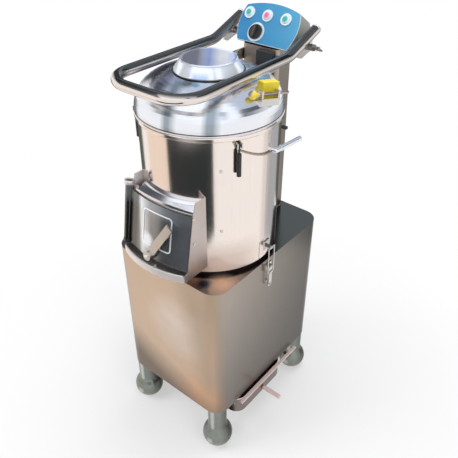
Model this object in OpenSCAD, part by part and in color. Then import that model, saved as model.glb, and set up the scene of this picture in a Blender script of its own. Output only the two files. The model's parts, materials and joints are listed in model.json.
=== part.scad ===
/* [Cabinet] */
// Width of the cabinet, side to side
cabinet_w = 366; // [358:1:400]
// Depth of the cabinet, front to back
cabinet_d = 470; // [460:1:520]
// Height of the cabinet's lower edge above the floor
cabinet_bottom = 166; // [162:1:200]
// Height of the cabinet's top above the floor
cabinet_top = 623; // [610:1:670]
// Sheet thickness of the cabinet
sheet = 1.5; // [1:0.1:2.5]
// Outer radius of the cabinet's vertical bends
cabinet_bend = 45; // [36:1:60]
// Width of the inward flange around the cabinet's open bottom
flange_w = 25; // [18:1:32]
// Width of the corner gussets that carry the feet
gusset_w = 70; // [64:1:80]
// Width of the service opening in the rear wall
service_w = 220; // [180:1:220]
// Height of the service opening in the rear wall
service_h = 300; // [200:1:330]
// How far the rear cover overlaps its opening
cover_lap = 12; // [8:1:16]
// Number of ventilation slots in the rear cover
slot_count = 6; // [3:1:8]

/* [Feet] */
// Radius of a foot's leg
leg_r = 28; // [24:0.5:30]
// Distance from a leg's side to the cabinet's rounded corner
leg_margin = 1.5; // [1:0.5:6]
// Radius of the ball at the bottom of a foot
ball_r = 45; // [40:0.5:48]
// Radius of the flat on which a ball rests
foot_flat_r = 13; // [10:0.5:18]
// Radius of the hollow between ball and leg
neck_r = 22; // [14:1:30]

/* [Peel tray] */
// Length of the tray under the cabinet, side to side
tray_l = 330; // [300:1:335]
// Width of the tray, front to back
tray_w = 230; // [200:1:250]
// Depth of the tray
tray_h = 58; // [45:1:60]
// How far the tray's outer end stands out from the cabinet
tray_out = 7; // [3:1:12]
// Gap between the front feet and the tray's front rail
tray_gap = 11; // [6:0.5:18]
// Plan radius of the tray's corners
tray_corner = 35; // [20:1:45]
// Gap between the tray's rim and the cabinet's lower edge
tray_drop = 8; // [6:0.5:12]
// Length of the lip along the tray's outer end
lip_l = 288; // [260:1:300]
// How far the lip stands out from the tray
lip_w = 9; // [6:0.5:14]
// Radius of the tray's handle
handle_r = 7; // [5:0.5:9]
// Length of the tray's handle
handle_l = 66; // [50:1:90]
// Place of the handle along the tray's end, from the tray's middle
handle_shift = 10; // [-30:1:30]

/* [Drum] */
// Outer radius of the drum
drum_r = 175; // [170:1:178]
// Sheet thickness of the drum
drum_wall = 1.5; // [1:0.1:2.5]
// Place of the drum's axis, behind the cabinet's middle
drum_y = -37; // [-45:1:-30]
// Height of the rubber ring that carries the drum
gasket_h = 12; // [11:1:20]
// Outer radius of the rubber ring
gasket_r = 164; // [155:1:168]
// Height of the drum above its floor plate
drum_h = 370; // [360:1:390]
// How far the rolled rim stands out
rim_w = 6; // [4:0.5:8]
// Height of the rolled rim
rim_h = 10; // [7:0.5:14]
// Thickness of the abrasive liner
liner_t = 2; // [1:0.1:3]

/* [Peeling disc and drive] */
// Radius of the peeling disc
disc_r = 166; // [150:1:168]
// Height of the peeling disc's top above the drum's floor
disc_lift = 35; // [28:1:37]
// Thickness of the peeling disc
disc_t = 6; // [4:0.5:10]
// Height of the waves on the peeling disc
wave_h = 9; // [5:0.5:14]
// Radius of the main shaft
shaft_r = 12.5; // [10:0.5:15]
// Outer radius of the bearings
bearing_r = 26; // [24:0.5:30]
// Height of a bearing
bearing_h = 15; // [10:1:18]
// Length of the bearing housing below the cabinet's top
housing_drop = 70; // [60:1:78]
// Radius of the driven pulley
pulley_r = 80; // [65:1:86]
// Radius of the motor's pulley
small_pulley_r = 30; // [24:1:34]
// Height of both pulleys
pulley_h = 20; // [16:1:24]
// Depth of the belt groove in both pulleys
groove_depth = 6; // [4:0.5:8]
// Distance from the main shaft to the motor's shaft
shaft_distance = 155; // [150:1:160]
// Radius of the motor's body
motor_r = 65; // [55:1:70]
// Length of the motor's body
motor_h = 220; // [160:1:240]
// Radius of the drain pipe
drain_r = 25; // [15:1:27]
// Distance from the drum's axis to the drain pipe
drain_x = 125; // [123:1:132]

/* [Discharge chute] */
// Half the width between the outer faces of the chute's side plates
chute_half = 105; // [100:1:110]
// Thickness of the chute's plates
plate_t = 2; // [1.5:0.1:3]
// Height of the chute's floor
chute_floor_z = 652; // [644:1:657]
// Height of the door's top edge
door_top_z = 824; // [817:1:832]
// Distance from the drum's axis to the door's top corners, front to back
door_top_reach = 185; // [180:1:192]
// Height of the door along its slope
door_h = 150; // [140:1:152]
// Lean of the door from upright, in degrees
door_lean = 10; // [6:0.5:11]
// How far the door bulges forward between its edges
door_bulge = 18; // [12:1:22]
// Rise of the chute's roof above the door's top
roof_rise = 33; // [25:1:38]
// Distance from the drum's axis to the front lip below the door
lip_reach = 248; // [245:1:256]
// Height of that lip
lip_h = 19; // [12:1:20]
// Radius of the rolled tube on the door's hinge edge
knuckle_r = 10; // [8:0.5:11]
// Radius of the hinge rod
hinge_rod_r = 5; // [4:0.5:6]
// Width of the door's lever
lever_w = 22; // [14:1:26]
// Length of the door's lever
lever_l = 118; // [90:1:125]
// Turn of the lever away from upright when the door is shut, in degrees
lever_turn = 32; // [20:1:45]

/* [Lid] */
// Radius of the lid's rim
lid_r = 180; // [176:1:183]
// Height of the lid's upright rim
lid_rim_h = 7; // [5:0.5:12]
// Height of the dome above the lid's rim
dome_h = 86; // [70:1:88]
// Sheet thickness of the lid
lid_t = 1.5; // [1:0.1:2.5]
// Radius of the feed hole in the lid
feed_r = 62; // [50:1:70]
// Radius of the cap at its foot
cap_r = 83; // [76:1:88]
// Radius of the cap at its top
cap_top_r = 65; // [55:1:72]
// Height of the cap
cap_h = 29; // [18:1:30]
// Distance from the column's face to the lid's hinge axis
lid_axis_out = 8; // [7:0.5:10]
// Height of the lid's hinge axis above the drum's rim
lid_axis_up = 65; // [60:1:70]
// Thickness of the lid's hinge arms
arm_t = 6; // [4:0.5:8]

/* [Guard bar] */
// Radius of the guard bar's tube
bar_r = 12.5; // [10:0.5:14]
// Wall of the guard bar's tube
bar_wall = 1.5; // [1:0.1:2.5]
// Half the distance between the bar's two arms
bar_half = 116; // [115:0.5:126]
// Distance from the drum's axis to the bar's front run
bar_reach = 214; // [208:1:226]
// Radius of the bar's front corners
bar_corner = 68; // [50:1:80]
// Height of the bar above the drum's rim
bar_up = 101; // [100:0.5:110]
// Slope of the bar's rear ends, in degrees
bar_slope = 20.5; // [18:0.5:22]
// Radius of the bend before the sloping ends
bar_bend = 80; // [60:1:100]
// Length of the sloping ends
bar_tail = 102; // [96:1:106]
// Radius of the pivot studs
stud_r = 5; // [4:0.5:6]

/* [Column and head] */
// Width of the column
column_w = 112; // [100:1:118]
// Depth of the column
column_d = 65; // [55:1:70]
// Plan radius of the column's corners
column_corner = 12; // [6:1:16]
// Sheet thickness of the column
column_wall = 2; // [1.5:0.1:3]
// Distance from the drum's axis to the column's face
column_reach = 197; // [195:1:205]
// Height of the column above the cabinet's top
column_h = 479; // [474:1:494]
// Lean of the fascia from level, in degrees
fascia_lean = 56.8; // [50:0.2:62]
// Radius of the head's bulging sides
head_side_r = 101; // [96:1:110]
// Half the width of the head at its widest
head_half = 89.6; // [86:0.2:94]
// Distance up the fascia to the head's widest place
head_mid = 50.4; // [44:0.2:56]
// Length of the fascia, up its slope
head_l = 104; // [98:1:110]
// Radius of the head's arched top
head_top_r = 259; // [200:1:400]
// Depth of the head, back from the fascia
head_d = 56; // [50:1:62]
// Thickness of the fascia panel
fascia_t = 3; // [2:0.5:4]

/* [Controls] */
// Outer radius of the buttons' rings
button_ring_r = 15; // [13:0.5:17]
// Radius of the button caps
button_r = 11; // [9:0.5:12]
// Distance from the middle button to its neighbours
button_step = 56; // [48:1:58]
// Distance up the fascia to the buttons
button_up = 72; // [66:1:76]
// Radius of the timer knob
knob_r = 19.5; // [16:0.5:21]
// Height of the timer knob
knob_h = 17; // [12:1:22]
// Radius of the ring around the timer knob
dial_r = 24.5; // [23:0.5:26]
// Place of the knob across the fascia
knob_x = -27; // [-40:1:0]
// Distance up the fascia to the knob
knob_up = 27; // [26:1:30]

/* [Side fittings] */
// Outer radius of the water inlet
inlet_r = 6; // [5:0.5:8]
// Wall of the water inlet
inlet_wall = 1.5; // [1:0.1:2]
// Height of the water inlet above the cabinet's top
inlet_up = 315; // [294:1:329]
// Length of the water inlet's tube
inlet_l = 73; // [50:1:90]
// Turn of the clamps from the front, in degrees
clamp_turn = 61; // [55:1:80]
// Length of the clamps' grips
grip_l = 56; // [40:1:65]
// Radius of the clamps' grips
grip_r = 5.5; // [4:0.5:6.5]
// Place of the toggle latch behind the cabinet's middle
toggle_y = -24; // [-30:1:-15]
// Width between the wires of the latch's bail
bail_w = 24; // [23:0.5:28]
// Radius of the bail's wire
bail_r = 1.5; // [1:0.1:2]
// Radius of the cable gland's bore
gland_bore = 5; // [4:0.5:6]

/* [Fits] */
// Radial clearance of parts that turn or slide in each other
run_gap = 0.06; // [0.03:0.01:0.1]
// Clearance between moving parts at rest
rest_gap = 0.4; // [0.3:0.05:0.6]

/* [Hidden] */
$fn = 64;
over = 1;
steel = [0.72, 0.70, 0.66];
polished = [0.80, 0.82, 0.86];
brown_steel = [0.50, 0.46, 0.40];
black = [0.08, 0.08, 0.09];
yellow = [0.93, 0.83, 0.10];

wall_z = cabinet_bottom + sheet;
wall_h = cabinet_top - cabinet_bottom - 2 * sheet;
rear_wall_w = cabinet_w - 2 * cabinet_bend;
half_w = cabinet_w / 2;
half_d = cabinet_d / 2;
leg_inset = cabinet_bend - (cabinet_bend - leg_r - leg_margin) / sqrt(2);
leg_x = half_w - leg_inset;
leg_y = half_d - leg_inset;
ball_z = sqrt(pow(ball_r, 2) - pow(foot_flat_r, 2));
service_z = (cabinet_bottom + cabinet_top) / 2 - 20;
cover_t = 1.5;
slot_w = 90;
slot_h = 3.5;
slot_step = 16;

drum_z = cabinet_top + gasket_h;
floor_t = 2;
drum_bottom = drum_z + floor_t;
rim_z = drum_z + drum_h + floor_t;
bore_r = drum_r - drum_wall;

disc_z = drum_bottom + disc_lift;
housing_r = bearing_r + 5;
housing_top = drum_bottom + 18;
housing_flange_r = 60;
housing_flange_t = 5;
seat_r = bearing_r - 4;
seal_h = 8;
shaft_bottom = cabinet_top - housing_drop - 45;
pulley_z = shaft_bottom + 8;
belt_t = 5;
belt_gap = 0.4;
belt_h = pulley_h - 10;
groove_r = pulley_r - groove_depth;
small_groove_r = small_pulley_r - groove_depth;
belt_angle = asin((groove_r - small_groove_r) / shaft_distance);
motor_y = drum_y + shaft_distance;
motor_top = pulley_z - 30;
motor_plate_t = 4;
pilot_r = 40;
pilot_h = motor_plate_t + 6;
rotor_r = 9.5;
rotor_depth = 22;
terminal_w = 70;
terminal_out = 20;

tray_x = half_w + tray_out - tray_l / 2;
tray_top = cabinet_bottom - tray_drop;
tray_wall = 1.5;
ledge_w = 8;
rail_t = 1.5;
tray_y = leg_r - leg_y + tray_gap + rail_t + rest_gap + ledge_w + tray_w / 2;

door_rise = door_h * cos(door_lean);
door_r = (pow(chute_half, 2) + pow(door_bulge, 2)) / (2 * door_bulge);
door_gap = 0.6;
door_right = chute_half - plate_t - door_gap;
hinge_x = -chute_half - 2;
hinge_y = -1;
hinge_top = 12;
hinge_bottom = -door_h + 10;
plug_h = 9;
plug_r = knuckle_r + 1;
strap_w = 8;
strap_l = 28;
strap_t = 5;
catch_r = 6;
catch_h = 7;
boss_l = 8;
lever_pin_r = 4;
lever_pin_l = 14;
room = 60;
lever_t = 5;
lever_boss_r = 12;
lever_z = 12 - door_h;
lever_x = -3;
lever_y = -door_bulge - 6;
roof_z = door_top_z + roof_rise;
door_top_y = drum_y - door_top_reach;

lid_z = rim_z + rest_gap;
dome_z = lid_z + lid_rim_h;
dome_power = 3.5;
crown_turn = acos(pow(cap_r / lid_r, dome_power / 2));
crown_z = dome_z + dome_h * sin(crown_turn);
column_y = drum_y + column_reach;
lid_axis_y = column_y - lid_axis_out;
lid_axis_z = rim_z + lid_axis_up;
ear_t = 4;
ear_r = 14;
pin_r = 5;
arm_x = column_w / 2 + ear_t + rest_gap;
arm_foot_y = drum_y + 132;
flank_out = 167;
flank_y = drum_y + 9;
flank_up = 62;
flank_turn = 17.5;
flank_dip = 8;
flank_pin_r = 3.5;
flank_ball_r = 10;
flank_pin_back = 45;
flank_pin_l = 98;

pivot_reach = 242;
pivot_up = 106;
bar_z = rim_z + bar_up;
bar_front = drum_y - bar_reach;
bend_y = drum_y + 142;
bend_end_y = bend_y + bar_bend * sin(bar_slope);
bend_end_z = bar_z + bar_bend * (1 - cos(bar_slope));
pivot_y = drum_y + pivot_reach;
pivot_z = rim_z + pivot_up;
lug_t = 5;
lug_r = 12;
lug_l = 54;
nut_r = 8;
nut_w = 14;
wing_r = 20;
wing_t = 4;
cap_l = 6;
plug_l = 12;
tail_step = 0.1;

column_top = cabinet_top + column_h;
fascia_y = column_y + 6;
fascia_z = column_top + 2;
head_shift = head_side_r - head_half;
head_rear = column_y + column_d + 33;
button_travel = 4;
button_proud = 6;
button_depth = 8;
button_x = -9;
block_h = 30;
spindle_r = 4;
spindle_l = 20;
ring_h = 1.5;
dial_bore_r = 15;
casing_t = 1.5;
fascia_depth = 10;
neck = 10;
box_w = 50;
box_h = 40;
box_d = 14;
box_x = 24;
box_drop = 6;

inlet_z = cabinet_top + inlet_up;
inlet_turn = 97;
inlet_off = 10;
inlet_out_turn = 24;
inlet_rise = 11;
inlet_flange = 3;
inlet_stop_at = 14;
inlet_stop_w = 3;
eye_t = 3;
eye_gap = 8;
eye_out = 11;
clamp_axis_z = rim_z - 19;
clamp_rod_r = 2.5;
clamp_rod_l = 20;
grip_in = 12;
clamp_reach = drum_r + eye_out;
hook_z = drum_bottom + 30;
toggle_axis_z = cabinet_top - 26;
toggle_off = 6.5;
pad_t = 2.5;
pad_h = 28;
hook_t = 4;
plate_drop = 50;
cheek_h = 12;
cheek_gap = 1.5;
cheek_out = 2.5;
pad_clear = 2;
toggle_axis_x = max(half_w, drum_r + pad_t + pad_clear) + toggle_off;
hook_w = 14;
toggle_pin_r = 2;
toggle_w = 13;
toggle_l = 52;
bail_drop = 13;
bail_out = 3.5;
plate_w = 28;
pad_turn = 7;
gland_r = 11;
gland_z = cabinet_top - 36;
gland_x = half_w - cabinet_bend - gland_r - 12;
rivet_turn = 48.7;
rivet_low = 122;
rivet_high = 286;
rivet_r = 4;
rivet_l = 4;
cover_screw_r = 4;
cover_screw_h = 2.5;
bolt_r = 7;
bolt_h = 5;
bolt_in = 12;
chute_screw_r = 3.5;
chute_screw_h = 2;
chute_screw_out = 10;

// A ring standing on the level plane
module ring(r_out, r_in, h) {
    difference() {
        cylinder(h = h, r = r_out);
        translate([0, 0, -over]) cylinder(h = h + 2 * over, r = r_in);
    }
}

// A rectangle about the origin with round corners
module round_rect(w, d, r) {
    square([w - 2 * r, d], center = true);
    square([w, d - 2 * r], center = true);
    for (x = [-1, 1], y = [-1, 1])
        translate([x * (w / 2 - r), y * (d / 2 - r)]) circle(r = r);
}

// A cylinder along +X from the origin
module along_x(r, l) {
    rotate([0, 90, 0]) cylinder(h = l, r = r);
}

// A cylinder along +Y from the origin
module along_y(r, l) {
    rotate([-90, 0, 0]) cylinder(h = l, r = r);
}

// A flat plate drawn in depth and height, from x0 to x0 + t
module side_plate(x0, t) {
    translate([x0, 0, 0]) rotate([90, 0, 90]) linear_extrude(t) children();
}

module at_drum() {
    translate([0, drum_y, 0]) children();
}

// Turns the children about the drum's axis, 0 is the front and 90 the right side
module at_turn(angle) {
    at_drum() rotate([0, 0, angle - 90]) children();
}

// Cabinet and feet

// The sheet outline, inset from the outside by a margin
module cabinet_outline(inset = 0)
    round_rect(cabinet_w - 2 * inset, cabinet_d - 2 * inset, cabinet_bend - inset);

// Front and sides, bent from one sheet around the rear wall
module cabinet_shell() color(brown_steel) difference() {
    translate([0, 0, wall_z]) linear_extrude(wall_h) cabinet_outline();
    translate([0, 0, wall_z - over]) linear_extrude(wall_h + 2 * over) cabinet_outline(sheet);
    translate([-rear_wall_w / 2, half_d - sheet - over, wall_z - over])
        cube([rear_wall_w, sheet + 2 * over, wall_h + 2 * over]);
}

// Flat wall between the rear bends, with the service opening and the gland's hole
module rear_wall() color(brown_steel) difference() {
    translate([-rear_wall_w / 2, half_d - sheet, wall_z]) cube([rear_wall_w, sheet, wall_h]);
    translate([0, half_d - sheet / 2, service_z])
        cube([service_w, sheet + 2 * over, service_h], center = true);
    translate([gland_x, half_d - sheet - over, gland_z])
        along_y(gland_r - 3, sheet + 2 * over);
}

// Plate welded on the walls, open for the bearing housing and the drain
module top_plate() color(brown_steel) difference() {
    translate([0, 0, cabinet_top - sheet]) linear_extrude(sheet) cabinet_outline();
    at_drum() translate([0, 0, cabinet_top - sheet - over]) {
        cylinder(h = sheet + 2 * over, r = housing_r + rest_gap);
        translate([-drain_x, 0, 0]) cylinder(h = sheet + 2 * over, r = drain_r + rest_gap);
    }
}

// Flange welded under the walls, with a gusset over each foot
module base_frame() color(brown_steel) difference() {
    translate([0, 0, cabinet_bottom]) linear_extrude(sheet) cabinet_outline();
    translate([0, 0, cabinet_bottom - over]) linear_extrude(sheet + 2 * over) {
        square([cabinet_w - 2 * flange_w, cabinet_d - 2 * gusset_w], center = true);
        square([cabinet_w - 2 * gusset_w, cabinet_d - 2 * flange_w], center = true);
    }
}

module rear_cover() color(brown_steel) difference() {
    translate([0, half_d + cover_t / 2, service_z])
        cube([service_w + 2 * cover_lap, cover_t, service_h + 2 * cover_lap], center = true);
    for (i = [0 : slot_count - 1])
        translate([0, half_d + cover_t / 2, service_z + service_h / 3 - i * slot_step])
            cube([slot_w, cover_t + 2 * over, slot_h], center = true);
}

// Outline of a foot: flat, ball, hollow neck and straight leg
function foot_profile() =
    let (
        neck_x = leg_r + neck_r,
        neck_dz = sqrt(pow(ball_r + neck_r, 2) - pow(neck_x, 2)),
        start = -atan2(ball_z, foot_flat_r),
        stop = atan2(neck_dz, neck_x),
        steps = 12
    )
    concat(
        [[0, 0]],
        [for (i = [0 : steps])
            let (a = start + (stop - start) * i / steps)
            [ball_r * cos(a), ball_z + ball_r * sin(a)]],
        [for (i = [1 : steps])
            let (a = 180 + stop - stop * i / steps)
            [neck_x + neck_r * cos(a), ball_z + neck_dz + neck_r * sin(a)]],
        [[leg_r, cabinet_bottom], [0, cabinet_bottom]]
    );

module feet() color([0.42, 0.45, 0.40])
    for (x = [-1, 1], y = [-1, 1]) translate([x * leg_x, y * leg_y, 0])
        rotate_extrude() polygon(foot_profile());

// Peel tray: an open pan that slides out to the right

module peel_tray() color(brown_steel) {
    translate([tray_x, tray_y, tray_top - tray_h]) difference() {
        linear_extrude(tray_h) round_rect(tray_l, tray_w, tray_corner);
        translate([0, 0, tray_wall]) linear_extrude(tray_h)
            round_rect(tray_l - 2 * tray_wall, tray_w - 2 * tray_wall, tray_corner - tray_wall);
    }
    for (side = [-1, 1])
        translate([
            tray_x - (tray_l - 2 * tray_corner) / 2,
            tray_y + side * (tray_w + ledge_w - tray_wall) / 2 - (ledge_w + tray_wall) / 2,
            tray_top - tray_wall
        ])
            cube([tray_l - 2 * tray_corner, ledge_w + tray_wall, tray_wall]);
    lip_shift = lip_w * 4;
    lip_fold = 5;
    translate([half_w + tray_out, tray_y - lip_l / 2 + lip_shift, tray_top - tray_wall])
        cube([lip_w, lip_l, tray_wall]);
    translate([
        half_w + tray_out + lip_w - tray_wall, tray_y - lip_l / 2 + lip_shift, tray_top - lip_fold
    ])
        cube([tray_wall, lip_l, lip_fold - tray_wall / 2]);
}

module tray_handle() color(brown_steel)
    translate([half_w + tray_out, tray_y + handle_shift, tray_top - tray_h + handle_r * 2])
        along_x(handle_r, handle_l);

module tray_rails() color(steel) {
    web_y = tray_w / 2 + ledge_w + rest_gap;
    foot_z = tray_top - tray_wall - rest_gap - rail_t;
    for (side = [-1, 1]) translate([0, tray_y, 0]) {
        translate([-half_w + sheet, side * (web_y + rail_t / 2) - rail_t / 2, foot_z])
            cube([cabinet_w - 2 * sheet, rail_t, cabinet_bottom - foot_z]);
        translate([-half_w + sheet, side * (web_y - ledge_w / 3) - ledge_w / 3, foot_z])
            cube([cabinet_w - 2 * sheet, 2 * ledge_w / 3, rail_t]);
    }
}

// Drum

module drum_gasket() color(black) at_drum()
    translate([0, 0, cabinet_top]) ring(gasket_r, gasket_r - 14, gasket_h);

module drum_floor() color(steel) at_drum() difference() {
    translate([0, 0, drum_z]) cylinder(h = floor_t, r = drum_r);
    translate([0, 0, drum_z - over]) cylinder(h = floor_t + 2 * over, r = housing_r + rest_gap);
    translate([-drain_x, 0, drum_z - over])
        cylinder(h = floor_t + 2 * over, r = drain_r - drum_wall);
}

// The space in front of the drum between the chute's side plates
module chute_space(half, z0, z1, reach) {
    translate([-half, drum_y - reach, z0]) cube([2 * half, reach, z1 - z0]);
}

module drum_shell() color(steel) difference() {
    at_drum() rotate_extrude() polygon([
        [bore_r, drum_bottom], [drum_r, drum_bottom], [drum_r, rim_z - rim_h - 2],
        [drum_r + rim_w - 1, rim_z - rim_h], [drum_r + rim_w, rim_z - rim_h + 1.5],
        [drum_r + rim_w, rim_z - 1.5], [drum_r + rim_w - 1.5, rim_z], [bore_r, rim_z]
    ]);
    chute_space(chute_half - plate_t - 4, disc_z + 2, door_top_z - 4, lip_reach);
    at_turn(inlet_turn) translate([drum_r - 10, 0, inlet_z]) along_x(inlet_r + run_gap, 20);
}

module abrasive_liner() color([0.35, 0.33, 0.31]) difference() {
    at_drum() translate([0, 0, disc_z + 8])
        ring(bore_r - 0.1, bore_r - 0.1 - liner_t, rim_z - disc_z - 60);
    chute_space(chute_half - plate_t, disc_z, door_top_z, lip_reach);
    at_turn(inlet_turn) translate([drum_r - 20, 0, inlet_z]) along_x(inlet_r + 6, 30);
}

module drain_pipe() color(black) at_drum() translate([-drain_x, 0, 0]) difference() {
    translate([0, 0, cabinet_bottom + 3]) cylinder(h = drum_z - cabinet_bottom - 3, r = drain_r);
    translate([0, 0, cabinet_bottom])
        cylinder(h = drum_z, r = drain_r - drum_wall);
}

// Shaft, disc and belt drive

module bearing_housing() color([0.45, 0.46, 0.48]) at_drum() {
    low = cabinet_top - housing_drop;
    rotate_extrude() polygon([
        [bearing_r, low], [housing_r, low], [housing_r, cabinet_top],
        [housing_flange_r, cabinet_top], [housing_flange_r, cabinet_top + housing_flange_t],
        [housing_r, cabinet_top + housing_flange_t], [housing_r, housing_top],
        [bearing_r, housing_top], [bearing_r, housing_top - seal_h - bearing_h],
        [seat_r, housing_top - seal_h - bearing_h], [seat_r, low + bearing_h],
        [bearing_r, low + bearing_h]
    ]);
}

module shaft_bearings() color([0.6, 0.61, 0.63]) at_drum() {
    for (z = [cabinet_top - housing_drop, housing_top - seal_h - bearing_h])
        translate([0, 0, z]) ring(bearing_r - 0.05, shaft_r + run_gap, bearing_h);
    translate([0, 0, housing_top - seal_h + 0.1])
        ring(bearing_r - 0.05, shaft_r + run_gap, seal_h - 0.1);
}

module main_shaft() color(polished) at_drum()
    translate([0, 0, shaft_bottom]) cylinder(h = disc_z - shaft_bottom + 4, r = shaft_r);

module peeling_disc() color([0.55, 0.50, 0.42]) at_drum() difference() {
    union() {
        translate([0, 0, disc_z - disc_t]) cylinder(h = disc_t, r = disc_r);
        translate([0, 0, housing_top + 2]) cylinder(h = disc_z - housing_top - 2, r = shaft_r * 2);
        intersection() {
            translate([0, 0, disc_z - disc_t]) cylinder(h = disc_t + wave_h, r = disc_r);
            for (i = [0 : 2]) rotate([0, 0, i * 120])
                translate([shaft_r * 2, 0, disc_z + wave_h - 30]) along_x(30, disc_r);
        }
    }
    translate([0, 0, housing_top]) cylinder(h = 80, r = shaft_r + 0.02);
    translate([0, 0, disc_z - disc_t - 60]) ring(disc_r, shaft_r * 2, 60);
}

module grooved_pulley(r, bore) difference() {
    cylinder(h = pulley_h, r = r);
    translate([0, 0, -over]) cylinder(h = pulley_h + 2 * over, r = bore);
    translate([0, 0, (pulley_h - belt_h) / 2 - belt_gap])
        ring(r + over, r - groove_depth, belt_h + 2 * belt_gap);
}

module driven_pulley() color([0.5, 0.5, 0.52]) at_drum()
    translate([0, 0, pulley_z]) grooved_pulley(pulley_r, shaft_r + 0.02);

module motor_pulley() color([0.5, 0.5, 0.52]) translate([0, motor_y, 0]) {
    translate([0, 0, pulley_z]) grooved_pulley(small_pulley_r, rotor_r);
    translate([0, 0, motor_top - 20]) cylinder(h = pulley_z + pulley_h + 4 - motor_top + 20, r = rotor_r);
}

// Outline of a belt loop that stands t outside both grooves: an arc about each shaft
function belt_points(t) = concat(
    [for (i = [0 : 24])
        let (a = 180 - belt_angle + (180 + 2 * belt_angle) * i / 24)
        (groove_r + t) * [cos(a), sin(a)]],
    [for (i = [0 : 24])
        let (a = belt_angle + (180 - 2 * belt_angle) * i / 24)
        [0, shaft_distance] + (small_groove_r + t) * [cos(a), sin(a)]]
);

module drive_belt() color(black) at_drum()
    translate([0, 0, pulley_z + (pulley_h - belt_h) / 2]) linear_extrude(belt_h) difference() {
        polygon(belt_points(belt_gap + belt_t));
        polygon(belt_points(belt_gap));
    }

module motor() color([0.35, 0.40, 0.42]) translate([0, motor_y, 0]) difference() {
    union() {
        translate([0, 0, motor_top - motor_h]) cylinder(h = motor_h, r = motor_r);
        translate([0, 0, motor_top]) cylinder(h = pilot_h, r = pilot_r);
        translate([-terminal_w / 2, -motor_r - terminal_out, motor_top - (motor_h + terminal_w) / 2 - 10])
            cube([terminal_w, 2 * terminal_out, terminal_w]);
    }
    translate([0, 0, motor_top - rotor_depth])
        cylinder(h = rotor_depth + pilot_h + over, r = rotor_r + run_gap);
}

module motor_plate() color(steel) {
    plate_half = half_w - sheet;
    front_margin = 8;
    fold_t = 3;
    fold_h = 24;
    plate_y0 = motor_y - motor_r - front_margin;
    plate_d = half_d - sheet - plate_y0;
    difference() {
        translate([-plate_half, plate_y0, motor_top])
            cube([2 * plate_half, plate_d, motor_plate_t]);
        translate([0, motor_y, motor_top - over])
            cylinder(h = motor_plate_t + 2 * over, r = pilot_r + 0.1);
        for (side = [-1, 1]) translate([side * plate_half, half_d - sheet, motor_top - over])
            cylinder(h = motor_plate_t + 2 * over, r = cabinet_bend);
    }
    for (side = [-1, 1])
        translate([side * (plate_half - fold_t / 2) - fold_t / 2, plate_y0, motor_top + motor_plate_t])
            cube([fold_t, plate_d - cabinet_bend, fold_h]);
}

// Discharge chute, in front of the drum

// The door's own frame: origin at the middle of its top edge, Z up along its slope
module at_door() {
    translate([0, door_top_y, door_top_z]) rotate([-door_lean, 0, 0]) children();
}

// The door's curve, as a disc whose front arc runs through both upper corners
module door_disc(r) {
    translate([0, door_r - door_bulge]) circle(r = r, $fn = 180);
}

module chute_side(x0) difference() {
    lean = door_h * sin(door_lean);
    side_plate(x0, plate_t) polygon([
        [drum_y, chute_floor_z], [drum_y, roof_z],
        [door_top_y + door_top_reach - drum_r, roof_z],
        [door_top_y, door_top_z], [door_top_y - lean, door_top_z - door_rise],
        [drum_y - lip_reach * cos(asin(chute_half / lip_reach)), chute_floor_z + lip_h],
        [drum_y - lip_reach * cos(asin(chute_half / lip_reach)), chute_floor_z]
    ]);
    at_drum() translate([0, 0, chute_floor_z - over])
        cylinder(h = roof_z, r = drum_r);
}

module chute_sides() color(polished) {
    chute_side(chute_half - plate_t);
    difference() {
        chute_side(-chute_half);
        at_door() translate([hinge_x, -room, hinge_bottom - plug_h - 2])
            cube([10, room + hinge_y + plug_r + 2 * rest_gap, door_h + room]);
    }
}

module chute_roof() color(polished) difference() {
    inner = chute_half - plate_t;
    root_low = 12;
    root_high = 20;
    roll_high = 23;
    roll_out = 9;
    slope_out = 15;
    slope_high = 19;
    reach = 50;
    hinge_cut = [34, 14];
    intersection() {
        at_drum() rotate_extrude($fn = 96) polygon([
            [drum_r, door_top_z + root_low], [drum_r, door_top_z + root_high],
            [drum_r + roll_out, door_top_z + roll_high], [drum_r + slope_out, door_top_z + slope_high],
            [drum_r + reach, door_top_z + plate_t], [drum_r + reach, door_top_z],
            [drum_r + hinge_cut[1], door_top_z + root_low]
        ]);
        chute_space(inner, door_top_z - root_high, roof_z, lip_reach);
        at_door() translate([0, 0, -door_h]) linear_extrude(door_h + room)
            door_disc(door_r - plate_t - rest_gap);
    }
    translate([-inner - over, drum_y - drum_r - hinge_cut[1], door_top_z - root_high])
        cube([hinge_cut[0], room, room]);
    at_door() translate([hinge_x, hinge_y, -door_h])
        cylinder(h = door_h + room, r = knuckle_r + rest_gap);
}

module chute_floor() color(polished) {
    inner = chute_half - plate_t;
    difference() {
        intersection() {
            at_drum() union() {
                translate([0, 0, chute_floor_z]) cylinder(h = plate_t, r = lip_reach);
                translate([0, 0, chute_floor_z]) ring(lip_reach, lip_reach - plate_t, lip_h);
            }
            chute_space(inner, chute_floor_z - over, chute_floor_z + lip_h + over, lip_reach + over);
        }
        at_drum() translate([0, 0, chute_floor_z - over])
            cylinder(h = lip_h + 4 * over, r = drum_r);
    }
    at_drum() translate([lever_x + 4, 25 - lip_reach, chute_floor_z + plate_t])
        cylinder(h = catch_h, r = catch_r, $fn = 6);
}

module door_hinge_rod() color(black) at_door() translate([hinge_x, hinge_y, 0]) {
    translate([0, 0, hinge_bottom - plug_h]) cylinder(h = plug_h - rest_gap, r = plug_r);
    translate([0, 0, hinge_bottom - over]) cylinder(h = hinge_top - hinge_bottom + 6, r = hinge_rod_r);
    translate([0, 0, hinge_top + rest_gap]) cylinder(h = 5, r = knuckle_r);
    translate([-strap_w - chute_half - hinge_x, 0, hinge_top + rest_gap])
        cube([strap_w, strap_l, strap_t]);
}

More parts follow.
